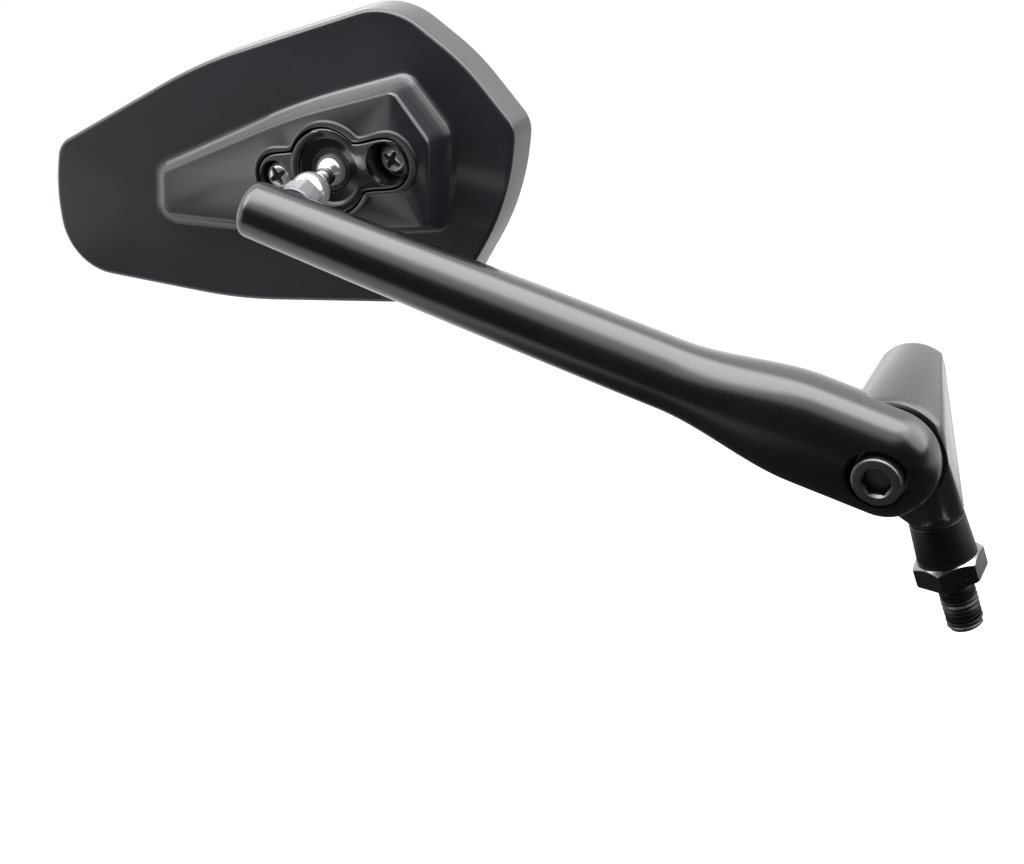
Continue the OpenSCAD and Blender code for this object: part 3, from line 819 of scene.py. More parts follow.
@dataclass(frozen=True)
class Turns:
    """A helical ridge round Z: a screw thread or a turned neck."""

    radius: float
    pitch: float
    low: float
    high: float
    ridge: float
    finish: Finish

    def build(self, name: str, place: Matrix) -> bpy.types.Object:
        """Grows the ridge with a geometry node tree.

        Args:
            name: Name of the piece.
            place: Frame of the thread in millimetres.

        Returns:
            The ridge as a plain mesh.
        """
        tree, src, out, names = geometry_tree(
            name + "_tree", [("Radius", 0.005), ("Turns", 10.0), ("Length", 0.01), ("Ridge", 0.0005)])
        radius, turns, length, ridge = (src.outputs[label] for label in names)
        spiral = wire(tree, "GeometryNodeCurveSpiral", Resolution=40, Rotations=turns,
                      Start_Radius=radius, End_Radius=radius, Height=length).outputs[0]
        flank = wire(tree, "GeometryNodeCurvePrimitiveCircle", Resolution=4, Radius=ridge).outputs[0]
        swept = wire(tree, "GeometryNodeCurveToMesh", Curve=spiral, Profile_Curve=flank, Fill_Caps=True)
        end_tree(tree, out, swept.outputs[0], self.finish)
        sizes = {"Radius": (self.radius - self.ridge) * MM, "Turns": (self.high - self.low) / self.pitch,
                 "Length": (self.high - self.low) * MM, "Ridge": self.ridge * MM}
        return grown(name, tree, names, sizes, place @ Matrix.Translation((0, 0, self.low)))


# Sub-assemblies


@dataclass
class Stem:
    """Threaded stem with its collar, lock nut and plain washer.

    A pair in nut_foot or nut_crown is how far the chamfer stands out past the nut's flats, and its
    height over the foot or its depth under the crown.
    """

    thread_r: float = 5.0
    core_r: float = 4.4
    thread_len: float = 15.0
    pitch: float = 1.25
    ridge: float = 0.62
    runout: Pair = (0.7, 0.65)
    nut_af: float = 17.0
    nut_h: float = 6.0
    nut_turn: float = 32.0
    nut_ease: float = 0.35
    nut_foot: tuple[Pair, ...] = ((0.6, -0.5), (1.4, 0.6))
    nut_crown: tuple[Pair, ...] = ((1.4, 1.1), (-0.3, 0.0))
    nut_play: float = 0.05
    nut_sink: float = 2.0
    collar_r: Pair = (8.0, 7.4)
    collar_top: float = 17.6
    spigot_r: float = 5.5
    spigot_top: float = 35.6
    groove: Pair = (4.8, 10.2)
    groove_deep: float = 0.8

    def build_stem(self) -> None:
        """Turns the stem and winds its thread."""
        low, high = self.collar_r
        start, stop = (self.collar_top + h for h in self.groove)
        stem = turned("stem_body", eased_profile([
            (0, -self.thread_len, 0), (self.core_r, -self.thread_len, 0.3),
            (self.core_r, self.nut_h, 0), (low, self.nut_h, 0.5), (high, self.collar_top, 0.4),
            (self.spigot_r, self.collar_top, 0), (self.spigot_r, start, 0.1),
            (self.spigot_r - self.groove_deep, start, 0), (self.spigot_r - self.groove_deep, stop, 0),
            (self.spigot_r, stop, 0.1), (self.spigot_r, self.spigot_top, 0.5), (0, self.spigot_top, 0)]))
        dress(stem, STEM_BLACK, Body.STEM, ["stem_adapter"])
        thread = Turns(self.thread_r, self.pitch, -self.thread_len + self.runout[0], -self.runout[1],
                       self.ridge, STEM_BLACK).build("stem_thread_turns", ROW)
        dress(thread, STEM_BLACK, Body.STEM)

    def build_nut(self) -> None:
        """Makes the lock nut with its chamfered corners and countersunk bore."""
        nut = prism("lock_nut_body", hexagon(self.nut_af, self.nut_turn, self.nut_ease), 0, self.nut_h)
        flat, top, bore = self.nut_af / 2, self.nut_h, self.core_r + self.nut_play
        foot = [(flat + out, height) for out, height in self.nut_foot]
        crown = [(flat + out, top - depth) for out, depth in self.nut_crown]
        carve(nut, turned("nut_cone", [(0, foot[0][1]), *foot, *crown, (0, top)], count=120),
              Cut.INTERSECT)
        carve(nut, turned("nut_bore", [(0, -1), (bore + self.nut_sink, -1), (bore, 1), (bore, top + 1),
                                       (0, top + 1)]))
        dress(nut, NUT_BLACK, Body.STEM, ["lock_nut"], 20)

    def build(self) -> None:
        """Builds and dresses the whole sub-assembly."""
        self.build_stem()
        self.build_nut()
        finish_node("swivel_washer", NYLON)


@dataclass
class Base:
    """Base knuckle that turns on the stem, with its pivot bolt and friction parts.

    A pair in an edge is how far the skin draws in, and how far from that end it does so, which
    top_edge has as a share of the bevel. A pair in the sink is its radius and its depth.
    """

    neck_r: float = 7.6
    neck_z: Pair = (18.5, 20.9)
    neck_edge: tuple[Pair, ...] = ((0.4, 0.0), (0.1, 0.12), (0.0, 0.4))
    front_r: float = 14.3
    front_edge: tuple[Pair, ...] = ((0.45, 0.0), (0.13, 0.13), (0.0, 0.45))
    bevel: float = 3.0
    top_r: float = 15.2
    top_reach: Pair = (10.4, 14.1)
    top_edge: tuple[Pair, ...] = ((0.0, 1.0), (0.1, 0.6), (0.35, 0.25))
    horn_r: float = 10.8
    horn_at: Pair = (-2.1, 4.0)
    horn_reach: Pair = (7.5, 8.5)
    horn_edge: tuple[Pair, ...] = ((0.0, 2.0), (0.2, 1.0), (0.55, 0.3), (1.0, 0.0))
    back: float = 18.3
    foot: float = 3.0
    bore_r: float = 5.55
    bore_z: Pair = (15.0, 36.2)
    set_screw_r: float = 2.5
    set_screw_z: float = 25.1
    bolt_r: float = 4.0
    bolt_deep: float = 20.0
    bolt_head_r: float = 6.7
    bolt_head_h: float = 5.0
    springs_h: float = 1.9
    socket_af: float = 7.0
    socket_turn: float = 12.0
    socket_ease: float = 0.25
    sink: tuple[Pair, ...] = ((5.2, -1.0), (3.6, 0.7), (3.2, 3.0))

    def top_slice(self, y: float, centre: Pair, radius: float, reach: Pair) -> Ring:
        """Points of one upright slice of the knuckle's round top.

        Args:
            y: Plane of the slice.
            centre: Centre of its arc from the pivot axis, as x and height.
            radius: Radius of the arc.
            reach: How far it reaches to the arm side and to the outer side of its centre.

        Returns:
            The points in the row frame, in millimetres.
        """
        x0, z0 = centre[0], DATUM.pivot_z + centre[1]
        xs = np.linspace(-reach[0], reach[1], 49)
        arc = [(x0 + x, y, z0 + math.sqrt(radius ** 2 - x ** 2)) for x in xs]
        return arc + [(x0 - reach[0], y, z0 + self.foot), (x0 + reach[1], y, z0 + self.foot)]

    def build_knuckle(self) -> None:
        """Wraps a skin round the neck, the front disc and the round top, and bores it."""
        front = DATUM.base_front_y
        points: Ring = []
        for ease, y in self.front_edge:
            points += [DATUM.pivot(front + y) @ Vector(p) for p in circle(self.front_r - ease, 0, 144)]
        for ease, z in self.neck_edge:
            points += circle(self.neck_r - ease, self.neck_z[0] + z)
        points += circle(self.neck_r, self.neck_z[1])
        for ease, share in self.top_edge:
            reach = (self.top_reach[0] - ease, self.top_reach[1] - 2.0 * ease)
            points += self.top_slice(front + self.bevel * share, (0, 0), self.top_r - ease, reach)
        for ease, back in self.horn_edge:
            reach = (self.horn_reach[0] - ease, self.horn_reach[1] - ease)
            points += self.top_slice(self.back - back, self.horn_at, self.horn_r - ease, reach)
        skin = Skin()
        skin.wrap(points, 0.4)
        knuckle = skin.done("base_knuckle_body")
        carve(knuckle, rod("bore", self.bore_r, *self.bore_z))
        carve(knuckle, rod("bolt_hole", self.bolt_r, -self.bolt_deep - 1, 2, DATUM.pivot(front)))
        side = Matrix.Translation((0, 0, self.set_screw_z)) @ Matrix.Rotation(-math.pi / 2, 4, "X")
        carve(knuckle, rod("set_screw_hole", self.set_screw_r, 0, 2 * self.back, side))
        dress(knuckle, BASE_PAINT, Body.BASE, ["base_knuckle"], 24)

    def build_bolt(self) -> None:
        """Turns the socket head bolt and sinks its hexagonal socket."""
        face = DATUM.counterbore_y - self.springs_h - self.bolt_head_h
        length = DATUM.base_front_y + self.bolt_deep - face
        place = Matrix.Translation((0, face, DATUM.pivot_z)) @ Matrix.Rotation(-math.pi / 2, 4, "X")
        bolt = turned("pivot_bolt_body", eased_profile([
            (0, 0, 0), (self.bolt_head_r, 0, 0.9), (self.bolt_head_r, self.bolt_head_h, 0.3),
            (self.bolt_r, self.bolt_head_h, 0), (self.bolt_r, length, 0.8), (0, length, 0)]), place)
        start, deep = self.sink[0][1], self.sink[-1][1]
        carve(bolt, turned("sink", [(0, start), *self.sink, (0, deep)], place))
        outline = hexagon(self.socket_af, self.socket_turn, self.socket_ease)
        carve(bolt, prism("socket", outline, start, deep, place))
        dress(bolt, BOLT_STEEL, Body.BASE, ["pivot_bolt"], 25)

    def build(self) -> None:
        """Builds and dresses the whole sub-assembly."""
        self.build_knuckle()
        self.build_bolt()
        finish_node("base_set_screw", BOLT_STEEL)
        finish_node("disc_springs", SPRING_STEEL)
        finish_node("friction_washer", FRICTION)


@dataclass
class FoldingArm:
    """Tapered round arm that flares into the half-lap knuckle, with its bush and ball stud."""

    length: float = 180.7
    end_r: float = 7.6
    root_r: float = 9.4
    knuckle_r: float = 14.4
    nose_r: float = 13.4
    front_r: float = 10.8
    flare: Pair = (60.0, 22.0)
    end_round: float = 3.0
    shoulder_r: float = 17.7
    counterbore_r: float = 8.2
    counterbore_deep: float = 5.4
    counterbore_flare: Pair = (1.2, 1.8)
    bush_r: float = 5.5
    sides: int = 128
    spot_r: float = 6.5
    spot_deep: float = 0.8
    stud_washer: float = 1.2
    ball_r: float = 4.5
    ball_cut: float = 0.6
    neck_r: float = 2.35
    neck: Pair = (3.9, 9.3)
    neck_turns: Turns = Turns(2.62, 0.55, 4.1, 9.0, 0.28, NUT_BLACK)
    dome_r: float = 5.4
    dome_at: float = 14.4
    dome_span: Pair = (0.5, 2.2)
    hex_af: float = 10.0
    hex_low: float = 17.4
    shank_r: float = 3.0
    shank_len: float = 11.0

    @property
    def spot_face(self) -> float:
        """Distance from the ball to the spot face on the arm."""
        return DATUM.ball_offset - self.rod_r(DATUM.stud_pos) + self.spot_deep

    def rod_r(self, s: float) -> float:
        """Radius of the plain rod at a distance along the arm."""
        share = max(s - self.flare[0], 0) / (self.length - self.flare[0])
        return self.root_r - (self.root_r - self.end_r) * share ** 1.6

    def section(self, s: float) -> Ring:
        """Points of the arm's section at a distance from the pivot.

        Args:
            s: Distance along the arm, negative past the pivot.

        Returns:
            The points in the arm's frame, in millimetres.
        """
        t = min(max((self.flare[0] - s) / (self.flare[0] - self.flare[1]), 0), 1)
        flare = t * t * (3 - 2 * t)
        d = max(s - (self.length - self.end_round), 0)
        lost = self.end_round - math.sqrt(max(self.end_round ** 2 - d ** 2, 0))
        nose = 1.0 if s >= 0 else math.sqrt(max(1 - (s / self.nose_r) ** 2, 0))
        half_z = (self.rod_r(s) + (self.knuckle_r - self.root_r) * flare) * nose - lost
        half_y = (self.rod_r(s) + (self.front_r - self.root_r) * flare) * nose ** 0.8 - lost
        power = 2 / (2 + 0.5 * flare)
        points = []
        for i in range(self.sides):
            a = 2 * math.pi * i / self.sides
            c, n = math.cos(a), math.sin(a)
            points.append((-s, half_y * math.copysign(abs(c) ** power, c),
                           -half_z * math.copysign(abs(n) ** power, n)))
        return points

    def build_arm(self) -> None:
        """Lofts the arm, cuts its lap, and bores it for the bolt and the stud."""
        far, near = self.flare
        end = self.length - self.end_round
        stations = [-self.nose_r * math.cos(math.pi / 2 * i / 24) for i in range(1, 24)]
        stations += [*np.linspace(0, near - 2, 8), *np.linspace(near, far, 30)]
        stations += list(np.linspace(far + 4, end, 24))
        stations += [end + self.end_round * math.sin(math.pi / 2 * i / 10) for i in range(1, 11)]
        skin = Skin()
        for ring in skin.stack([self.section(s) for s in stations]):
            skin.cap(ring)
        arm = skin.done("arm_body", DATUM.arm())
        lap, wide = DATUM.lap_y, self.counterbore_r + self.counterbore_flare[0]
        carve(arm, rod("lap", self.shoulder_r, 0, 20, DATUM.pivot(lap + 20), 192))
        carve(arm, turned("counterbore", eased_profile([
            (0, 0, 0), (self.counterbore_r, 0, 0.3), (self.counterbore_r, self.counterbore_deep, 0),
            (wide, self.counterbore_deep + self.counterbore_flare[1], 0), (wide, 12, 0), (0, 12, 0)]),
            DATUM.pivot(DATUM.counterbore_y), 128))
        carve(arm, rod("bush_bore", self.bush_r, -1, 9, DATUM.pivot(lap)))
        carve(arm, rod("spot_face", self.spot_r, 4, self.spot_face, DATUM.stud()))
        dress(arm, ARM_PAINT, Body.ARM, ["arm"], 28)

    def build_stud(self) -> None:
        """Turns the ball stud, with its turned neck, dome and hexagon."""
        seat = self.spot_face - self.stud_washer
        ball = [(self.ball_r * math.sin(a), -self.ball_r * math.cos(a))
                for a in np.linspace(0, math.pi - self.ball_cut, 30)]
        dome = [(self.dome_r * math.sin(a), self.dome_at - self.dome_r * math.cos(a))
                for a in np.linspace(*self.dome_span, 22)]
        tip = seat + self.shank_len
        profile = [*ball, *((self.neck_r, height) for height in self.neck), *dome,
                   (self.shank_r, self.hex_low + 0.3), (self.shank_r, tip), (0, tip)]
        stud = turned("ball_stud_body", profile, DATUM.stud())
        nut = prism("stud_hexagon", hexagon(self.hex_af, 0, 0.3), self.hex_low, seat, DATUM.stud())
        carve(stud, nut, Cut.UNION)
        dress(stud, CHROME, Body.ARM, ["ball_stud"], 28)
        dress(self.neck_turns.build("stud_neck_turns", DATUM.stud()), NUT_BLACK, Body.ARM)

    def build(self) -> None:
        """Builds and dresses the whole sub-assembly."""
        self.build_arm()
        self.build_stud()
        finish_node("pivot_bush", BRONZE)
        finish_node("stud_washer", ZINC)


@dataclass
class MirrorHead:
    """Mirror head: housing with wedge boss, clamp, screws and convex glass.

    Outlines are corners or circles as x, y and radius. A pair in an edge is how far the outline
    moves in, and how deep it then lies under the top. A pair in the cove is the same inset, and a
    share of the boss's height. Heights run along the normal of the head's back, from the ball.
    """

    corners: tuple[Triple, ...] = (
        (-95.5, -18, 16.5), (-42.5, -33.5, 150), (23.5, -41.5, 14), (48, -15.5, 70), (54, 3, 7.5),
        (43, 22.5, 60), (25.5, 41, 20), (-37.5, 33, 150), (-89, 17, 7), (-94, 4, 55))
    boss: tuple[Triple, ...] = (
        (-63.5, -9, 6), (-12, -19, 200), (29, -21.5, 6), (37.5, 4.5, 9), (28, 22.5, 6),
        (-8, 19, 200), (-58.5, 8, 6))
    back_n: float = -4.5
    depth: float = 10.6
    draft: float = 0.5
    back_out: float = 0.15
    back_round: Pair = (1.15, 1.0)
    boss_high: float = 5.4
    boss_low: float = 1.0
    boss_ends: Pair = (-60.0, 30.0)
    cove: tuple[Pair, ...] = (
        (-0.6, 0.0), (0.3, 0.025), (1.1, 0.10), (1.9, 0.27), (2.5, 0.50), (2.95, 0.74), (3.2, 0.88),
        (3.42, 0.955), (3.7, 0.99), (4.0, 1.0))
    pad_lobes: tuple[Triple, ...] = ((-16.3, 0.3, 8.3), (0.9, 0.2, 13.6), (20.2, 0.4, 8.8))
    pad_bar: float = 8.0
    pad_rise: float = 0.8
    pad_edge: tuple[Pair, ...] = (
        (-0.25, 0.8), (-0.08, 0.736), (0.0, 0.56), (0.05, 0.32), (0.13, 0.128), (0.26, 0.032),
        (0.42, 0.0))
    pocket_n: float = -5.2
    pocket_gap: float = 0.4
    pocket_edge: tuple[Pair, ...] = ((-0.22, 0.0), (-0.08, 0.06), (0.0, 0.24))
    clamp_lobes: tuple[Triple, ...] = ((-16.6, 0.1, 6.6), (0.0, 0.0, 11.9), (19.3, 0.2, 7.0))
    clamp_bar: float = 6.4
    clamp_gap: float = 0.05
    ear_rise: float = 0.6
    ear_edge: tuple[Pair, ...] = ((0.0, 0.75), (0.07, 0.45), (0.25, 0.18), (0.5, 0.04), (0.75, 0.0))
    ring_r: float = 11.85
    ring_h: float = 3.2
    bead: float = 2.0
    dish_n: float = 1.45
    dish_r: Triple = (9.0, 9.2, 9.8)
    socket_r: float = 6.3
    socket_span: Pair = (-0.15, 1.35)
    seat_room: Pair = (8.6, -6.5)
    ball_room_r: float = 4.56
    seat_span: Pair = (0.1, 0.95)
    seat_lip: tuple[Pair, ...] = ((4.7, 1.1), (5.3, 1.25), (5.85, 1.2), (6.0, 1.0), (6.05, 0.1))
    counterbores: tuple[Triple, ...] = ((-18.0, 0.0, 4.7), (18.7, 0.2, 5.8))
    counterbore_flare: float = 0.9
    cut_high: float = 12.0
    spacing: float = 18.0
    screw_n: float = -3.2
    screw_r: float = 1.5
    screw_play: float = 0.2
    screw_end: float = 0.6
    screw_head: tuple[Triple, ...] = (
        (3.6, 0.0, 0.1), (3.6, 1.5, 0.4), (3.1, 2.3, 0.5), (2.0, 2.75, 0.5), (0.0, 2.85, 0.0))
    screw_turn: float = 0.5
    cross_turn: float = 20.0
    cross_n: float = 0.4
    blade: tuple[Pair, ...] = ((-2.7, -0.5), (-1.0, -0.8), (1.0, -0.8), (2.7, -0.5), (2.7, 0.5),
                               (1.0, 0.8), (-1.0, 0.8), (-2.7, 0.5))
    # The dark pieces in the screw crosses are painted shade for the shadow in the recesses: their fit
    # inside the blade outline, and their span in height.
    cross_shade_fit: Pair = (0.96, 0.92)
    cross_shade_span: Pair = (0.45, 1.7)
    rim_lip: float = 1.6
    glass_sink: float = 1.4
    glass_t: float = 2.0
    glass_gap: float = 0.3
    glass_curve: float = 1400.0
    glass_mid: float = -20.0
    glass_reach: float = 78.0
    backing: float = 2.0

    @property
    def rim_n(self) -> float:
        """Height of the rim at the glass side."""
        return self.back_n - self.depth

    @property
    def floor_n(self) -> float:
        """Height of the floor that the glass, its pad and its carrier lie on."""
        return self.rim_n + self.glass_sink + self.glass_t + self.backing

    def boss_top(self, x: float) -> float:
        """Height of the sloping top of the boss at a place along the head."""
        share = (x - self.boss_ends[0]) / (self.boss_ends[1] - self.boss_ends[0])
        return (self.back_n + self.boss_low) * (1 - share) + self.boss_high * share

    def wall_ring(self, inset: float, n: float) -> Ring:
        """Ring of the housing outline at an inset and a height."""
        return [(x, y, n) for x, y in rounded_outline(self.corners, inset)]

    def boss_ring(self, inset: float, share: float) -> Ring:
        """Ring of the boss at an inset and a share of its height."""
        return [(x, y, self.back_n + share * (self.boss_top(x) - self.back_n))
                for x, y in rounded_outline(self.boss, inset)]

    def edge_rings(self, outline: np.ndarray, rise: float, edge: Sequence[Pair]) -> list[Ring]:
        """Rings of a rounded edge that follows the sloping top of the boss.

        Args:
            outline: The outline as an array of x and y.
            rise: Height of the edge's top above the boss.
            edge: How far each ring moves in, and how deep it lies under the edge's top.

        Returns:
            The points of each ring.
        """
        return [[(x, y, self.boss_top(x) + (rise - deep)) for x, y in moved_in(outline, inset)]
                for inset, deep in edge]

    def build_housing(self) -> None:
        """Skins the housing: rim, side wall, back plate, wedge boss and clamp pocket."""
        skin = Skin()
        inner = self.rim_lip - self.draft
        rim_edge = ((inner, 0.25), (inner - 0.2, 0.0), (0.05, 0.0), (-0.3, 0.12), (-self.draft, 0.45))
        wall = [self.wall_ring(inner, self.floor_n)]
        wall += [self.wall_ring(inset, self.rim_n + n) for inset, n in rim_edge]
        across, high = self.back_round
        for a in (math.pi / 2 * i / 8 for i in range(9)):
            wall.append(self.wall_ring(across * (1 - math.cos(a)) - self.back_out,
                                       self.back_n - high * (1 - math.sin(a))))
        bottom, edge = skin.stack(wall)
        skin.plate(bottom)
        fine, at = np.linspace(0, 1, 28), np.linspace(0, 1, len(self.cove))
        insets, shares = (np.interp(fine, at, column) for column in zip(*self.cove))
        foot, top = skin.stack([self.boss_ring(inset, share) for inset, share in zip(insets, shares)])
        skin.plate(edge, foot)
        pad = lobed_outline(self.pad_lobes, self.pad_bar)
        outer, crown = skin.stack(self.edge_rings(pad, self.pad_rise, self.pad_edge))
        skin.plate(top, outer)
        pocket = lobed_outline(self.clamp_lobes, self.clamp_bar, self.pocket_gap)
        mouth, floor = skin.stack([*self.edge_rings(pocket, self.pad_rise, self.pocket_edge),
                                   [(x, y, self.pocket_n) for x, y in pocket]])
        skin.plate(crown, mouth)
        skin.plate(floor)
        housing = skin.done("mirror_housing_shell", DATUM.head())
        dress(housing, HOUSING_PAINT, Body.HEAD, ["mirror_housing"], 30)

    def build_clamp(self) -> None:
        """Makes the clamp plate: ears that follow the boss, a round ring and its dish."""
        skin = Skin()
        plate, low = lobed_outline(self.clamp_lobes, self.clamp_bar), self.pocket_n + self.clamp_gap
        for ring in skin.stack([[(x, y, low) for x, y in plate],
                                *self.edge_rings(plate, self.ear_rise, self.ear_edge)]):
            skin.plate(ring)
        place, high, base = DATUM.head(), self.ring_h, low + 0.1
        clamp = skin.done("ball_clamp_body", place)
        inner, lip, mouth = self.dish_r
        carve(clamp, turned("clamp_ring", eased_profile([
            (0, base, 0), (self.ring_r, base, 0), (self.ring_r, high, self.bead), (lip, high, 0),
            (0, high, 0)]), place, 144), Cut.UNION)
        socket = [(math.sqrt(self.socket_r ** 2 - n * n), n, 0)
                  for n in np.linspace(*self.socket_span, 7)]
        room_r, room_n = self.seat_room
        carve(clamp, turned("clamp_dish", eased_profile([
            (0, room_n, 0), (room_r, room_n, 0), (room_r, self.socket_span[0], 0), *socket,
            (inner, self.dish_n, 0.3), (lip, high - 0.5, 0.4), (mouth, high + 0.4, 0.4),
            (mouth, self.cut_high, 0), (0, self.cut_high, 0)]), place, 144))
        flare = self.counterbore_flare
        for (x, y, radius), side in zip(self.counterbores, (-self.spacing, self.spacing)):
            ear = self.boss_top(x) + self.ear_rise
            carve(clamp, turned("counterbore", eased_profile([
                (0, self.screw_n, 0), (radius - 0.6, self.screw_n, 0.4), (radius, ear - 0.2, 0.5),
                (radius + flare, ear + flare, 0), (radius + flare, self.cut_high, 0),
                (0, self.cut_high, 0)]), place @ Matrix.Translation((x, y, 0))))
            carve(clamp, rod("screw_hole", self.screw_r + self.screw_play, -7, 0,
                             place @ Matrix.Translation((side, 0, 0))))
        dress(clamp, CLAMP_PAINT, Body.HEAD, ["ball_clamp"], 28)

    def build_seat(self) -> None:
        """Turns the front ball seat, whose lip stands close round the ball."""
        hollow = [(math.sqrt(self.ball_room_r ** 2 - n * n), n) for n in np.linspace(*self.seat_span, 8)]
        skin = Skin()
        first, last = skin.stack([circle(r, n) for r, n in (*hollow, *self.seat_lip)])
        skin.band(last, first)
        seat = skin.done("ball_seat_front_lip", DATUM.head())
        dress(seat, SEAT_BLACK, Body.FRONT_SEAT, ["ball_seat_front"], 35)

    def build_cross_shade(self, turns: Sequence[Matrix]) -> None:
        """Lays a dark piece of painted shade in the cross of each screw, for the shadow in its recess.

        Args:
            turns: Turn of each of the two bars of a cross.
        """
        inner = [(self.cross_shade_fit[0] * x, self.cross_shade_fit[1] * y) for x, y in self.blade]
        for index, side in enumerate((-self.spacing, self.spacing)):
            spot = (DATUM.head() @ Matrix.Translation((side, 0, self.screw_n))
                    @ Matrix.Rotation(self.screw_turn * index, 4, "Z"))
            bars = [prism(f"screw_lacquer_{index + 1}", inner, *self.cross_shade_span, spot @ turn)
                    for turn in turns]
            # Each piece is painted shade: a dark solid standing in for the shadow in the cross recess.
            dress(carve(*bars, Cut.UNION), SEAT_BLACK, Body.HEAD)

    def build_screws(self) -> None:
        """Makes one pan head screw and sets one in each ear with a geometry node tree."""
        tip = self.floor_n + self.screw_end - self.screw_n
        screw = turned("screw_pattern", eased_profile([
            (0, tip, 0), (self.screw_r, tip, 0.2), (self.screw_r, 0, 0), *self.screw_head]), count=64)
        turns = [Matrix.Rotation(math.radians(self.cross_turn + bar), 4, "Z") for bar in (0, 90)]
        for turn in turns:
            carve(screw, prism("blade", self.blade, self.cross_n, 4.0, turn))
        # Puts dark painted shade in the screw crosses.
        self.build_cross_shade(turns)
        tree, src, out, names = geometry_tree("clamp_screw_pair", [("Spacing", 0.018), ("Seat", -0.003)])
        spacing, seat = (src.outputs[label] for label in names)
        pattern = wire(tree, "GeometryNodeObjectInfo", Object=screw).outputs["Geometry"]
        start = wire(tree, "ShaderNodeCombineXYZ", X=maths(tree, "MULTIPLY", spacing, -1.0), Z=seat)
        end = wire(tree, "ShaderNodeCombineXYZ", X=spacing, Z=seat)
        line = wire(tree, "GeometryNodeMeshLine", {"mode": "END_POINTS"}, Count=2,
                    Start_Location=start.outputs[0], Offset=end.outputs[0])
        index = wire(tree, "GeometryNodeInputIndex").outputs[0]
        turn = wire(tree, "ShaderNodeCombineXYZ", Z=maths(tree, "MULTIPLY", index, self.screw_turn))
        copies = wire(tree, "GeometryNodeInstanceOnPoints", Points=line.outputs[0], Instance=pattern,
                      Rotation=turn.outputs[0])
        end_tree(tree, out, copies.outputs[0], SCREW_CHROME)
        sizes = {"Spacing": self.spacing * MM, "Seat": self.screw_n * MM}
        pair = grown("clamp_screw_heads", tree, names, sizes, DATUM.head())
        bpy.data.objects.remove(screw)
        dress(pair, SCREW_CHROME, Body.HEAD, ["clamp_screws"], 28)

    def build_glass(self) -> None:
        """Makes the convex glass with ground edges."""
        face, rear = self.rim_n + self.glass_sink, self.rim_n + self.glass_sink + self.glass_t
        outer = rounded_outline(self.corners, self.rim_lip + self.glass_gap - self.draft)
        middle = np.array([self.glass_mid, 0.0])

        def layer(share: float, n: float, shrink: float = 0.0) -> Ring:
            """Makes one ring of the glass, bulging away from the ball.

            Args:
                share: Its share of the full size.
                n: Its height without the bulge.
                shrink: How far its outline moves in.

            Returns:
                The points of the ring.
            """
            ring = middle + share * ((moved_in(outer, shrink) if shrink else outer) - middle)
            sag = (self.glass_reach ** 2 - ((ring - middle) ** 2).sum(1)) / (2 * self.glass_curve)
            return [(x, y, n - s) for (x, y), s in zip(ring, sag)]

        layers = [layer(share, face) for share in (0.02, *np.linspace(0.08, 0.995, 22)[:-1])]
        layers += [layer(1.0, face, 0.5), layer(1.0, face + 0.15, 0.12), layer(1.0, face + 0.5)]
        layers += [layer(1.0, rear - 0.3), layer(1.0, rear - 0.05, 0.3)]
        layers += [layer(share, rear - 0.05) for share in (0.9, 0.6, 0.3, 0.05)]
        skin = Skin()
        for ring in skin.stack(layers):
            skin.cap(ring)
        glass = skin.done("mirror_glass_lens", DATUM.head())
        dress(glass, MIRROR, Body.HEAD, ["mirror_glass"], 25)

    def build(self) -> None:
        """Builds and dresses the whole sub-assembly."""
        self.build_housing()
        self.build_clamp()
        self.build_seat()
        self.build_screws()
        self.build_glass()
        finish_node("ball_seat_rear", SEAT_BLACK)
        finish_node("clamp_inserts", BRASS)
        finish_node("glass_carrier", CARRIER)
        finish_node("glass_pad", FOAM)


# Studio


@dataclass(frozen=True)
class SoftBox:
    """One large soft lamp."""

    name: str
    at: Triple
    towards: Triple
    size: Pair
    watts: float

    def build(self) -> None:
        """Hangs the lamp."""
        lamp = bpy.data.lights.new(self.name, "AREA")
        lamp.shape, lamp.size, lamp.size_y, lamp.energy = "RECTANGLE", *self.size, self.watts
        holder = bpy.data.objects.new(self.name, lamp)
        way = Vector(self.towards) - Vector(self.at)
        holder.matrix_world = (Matrix.Translation(self.at)
                               @ way.to_track_quat("-Z", "Y").to_matrix().to_4x4())
        holder.visible_glossy = False
        bpy.context.scene.collection.objects.link(holder)


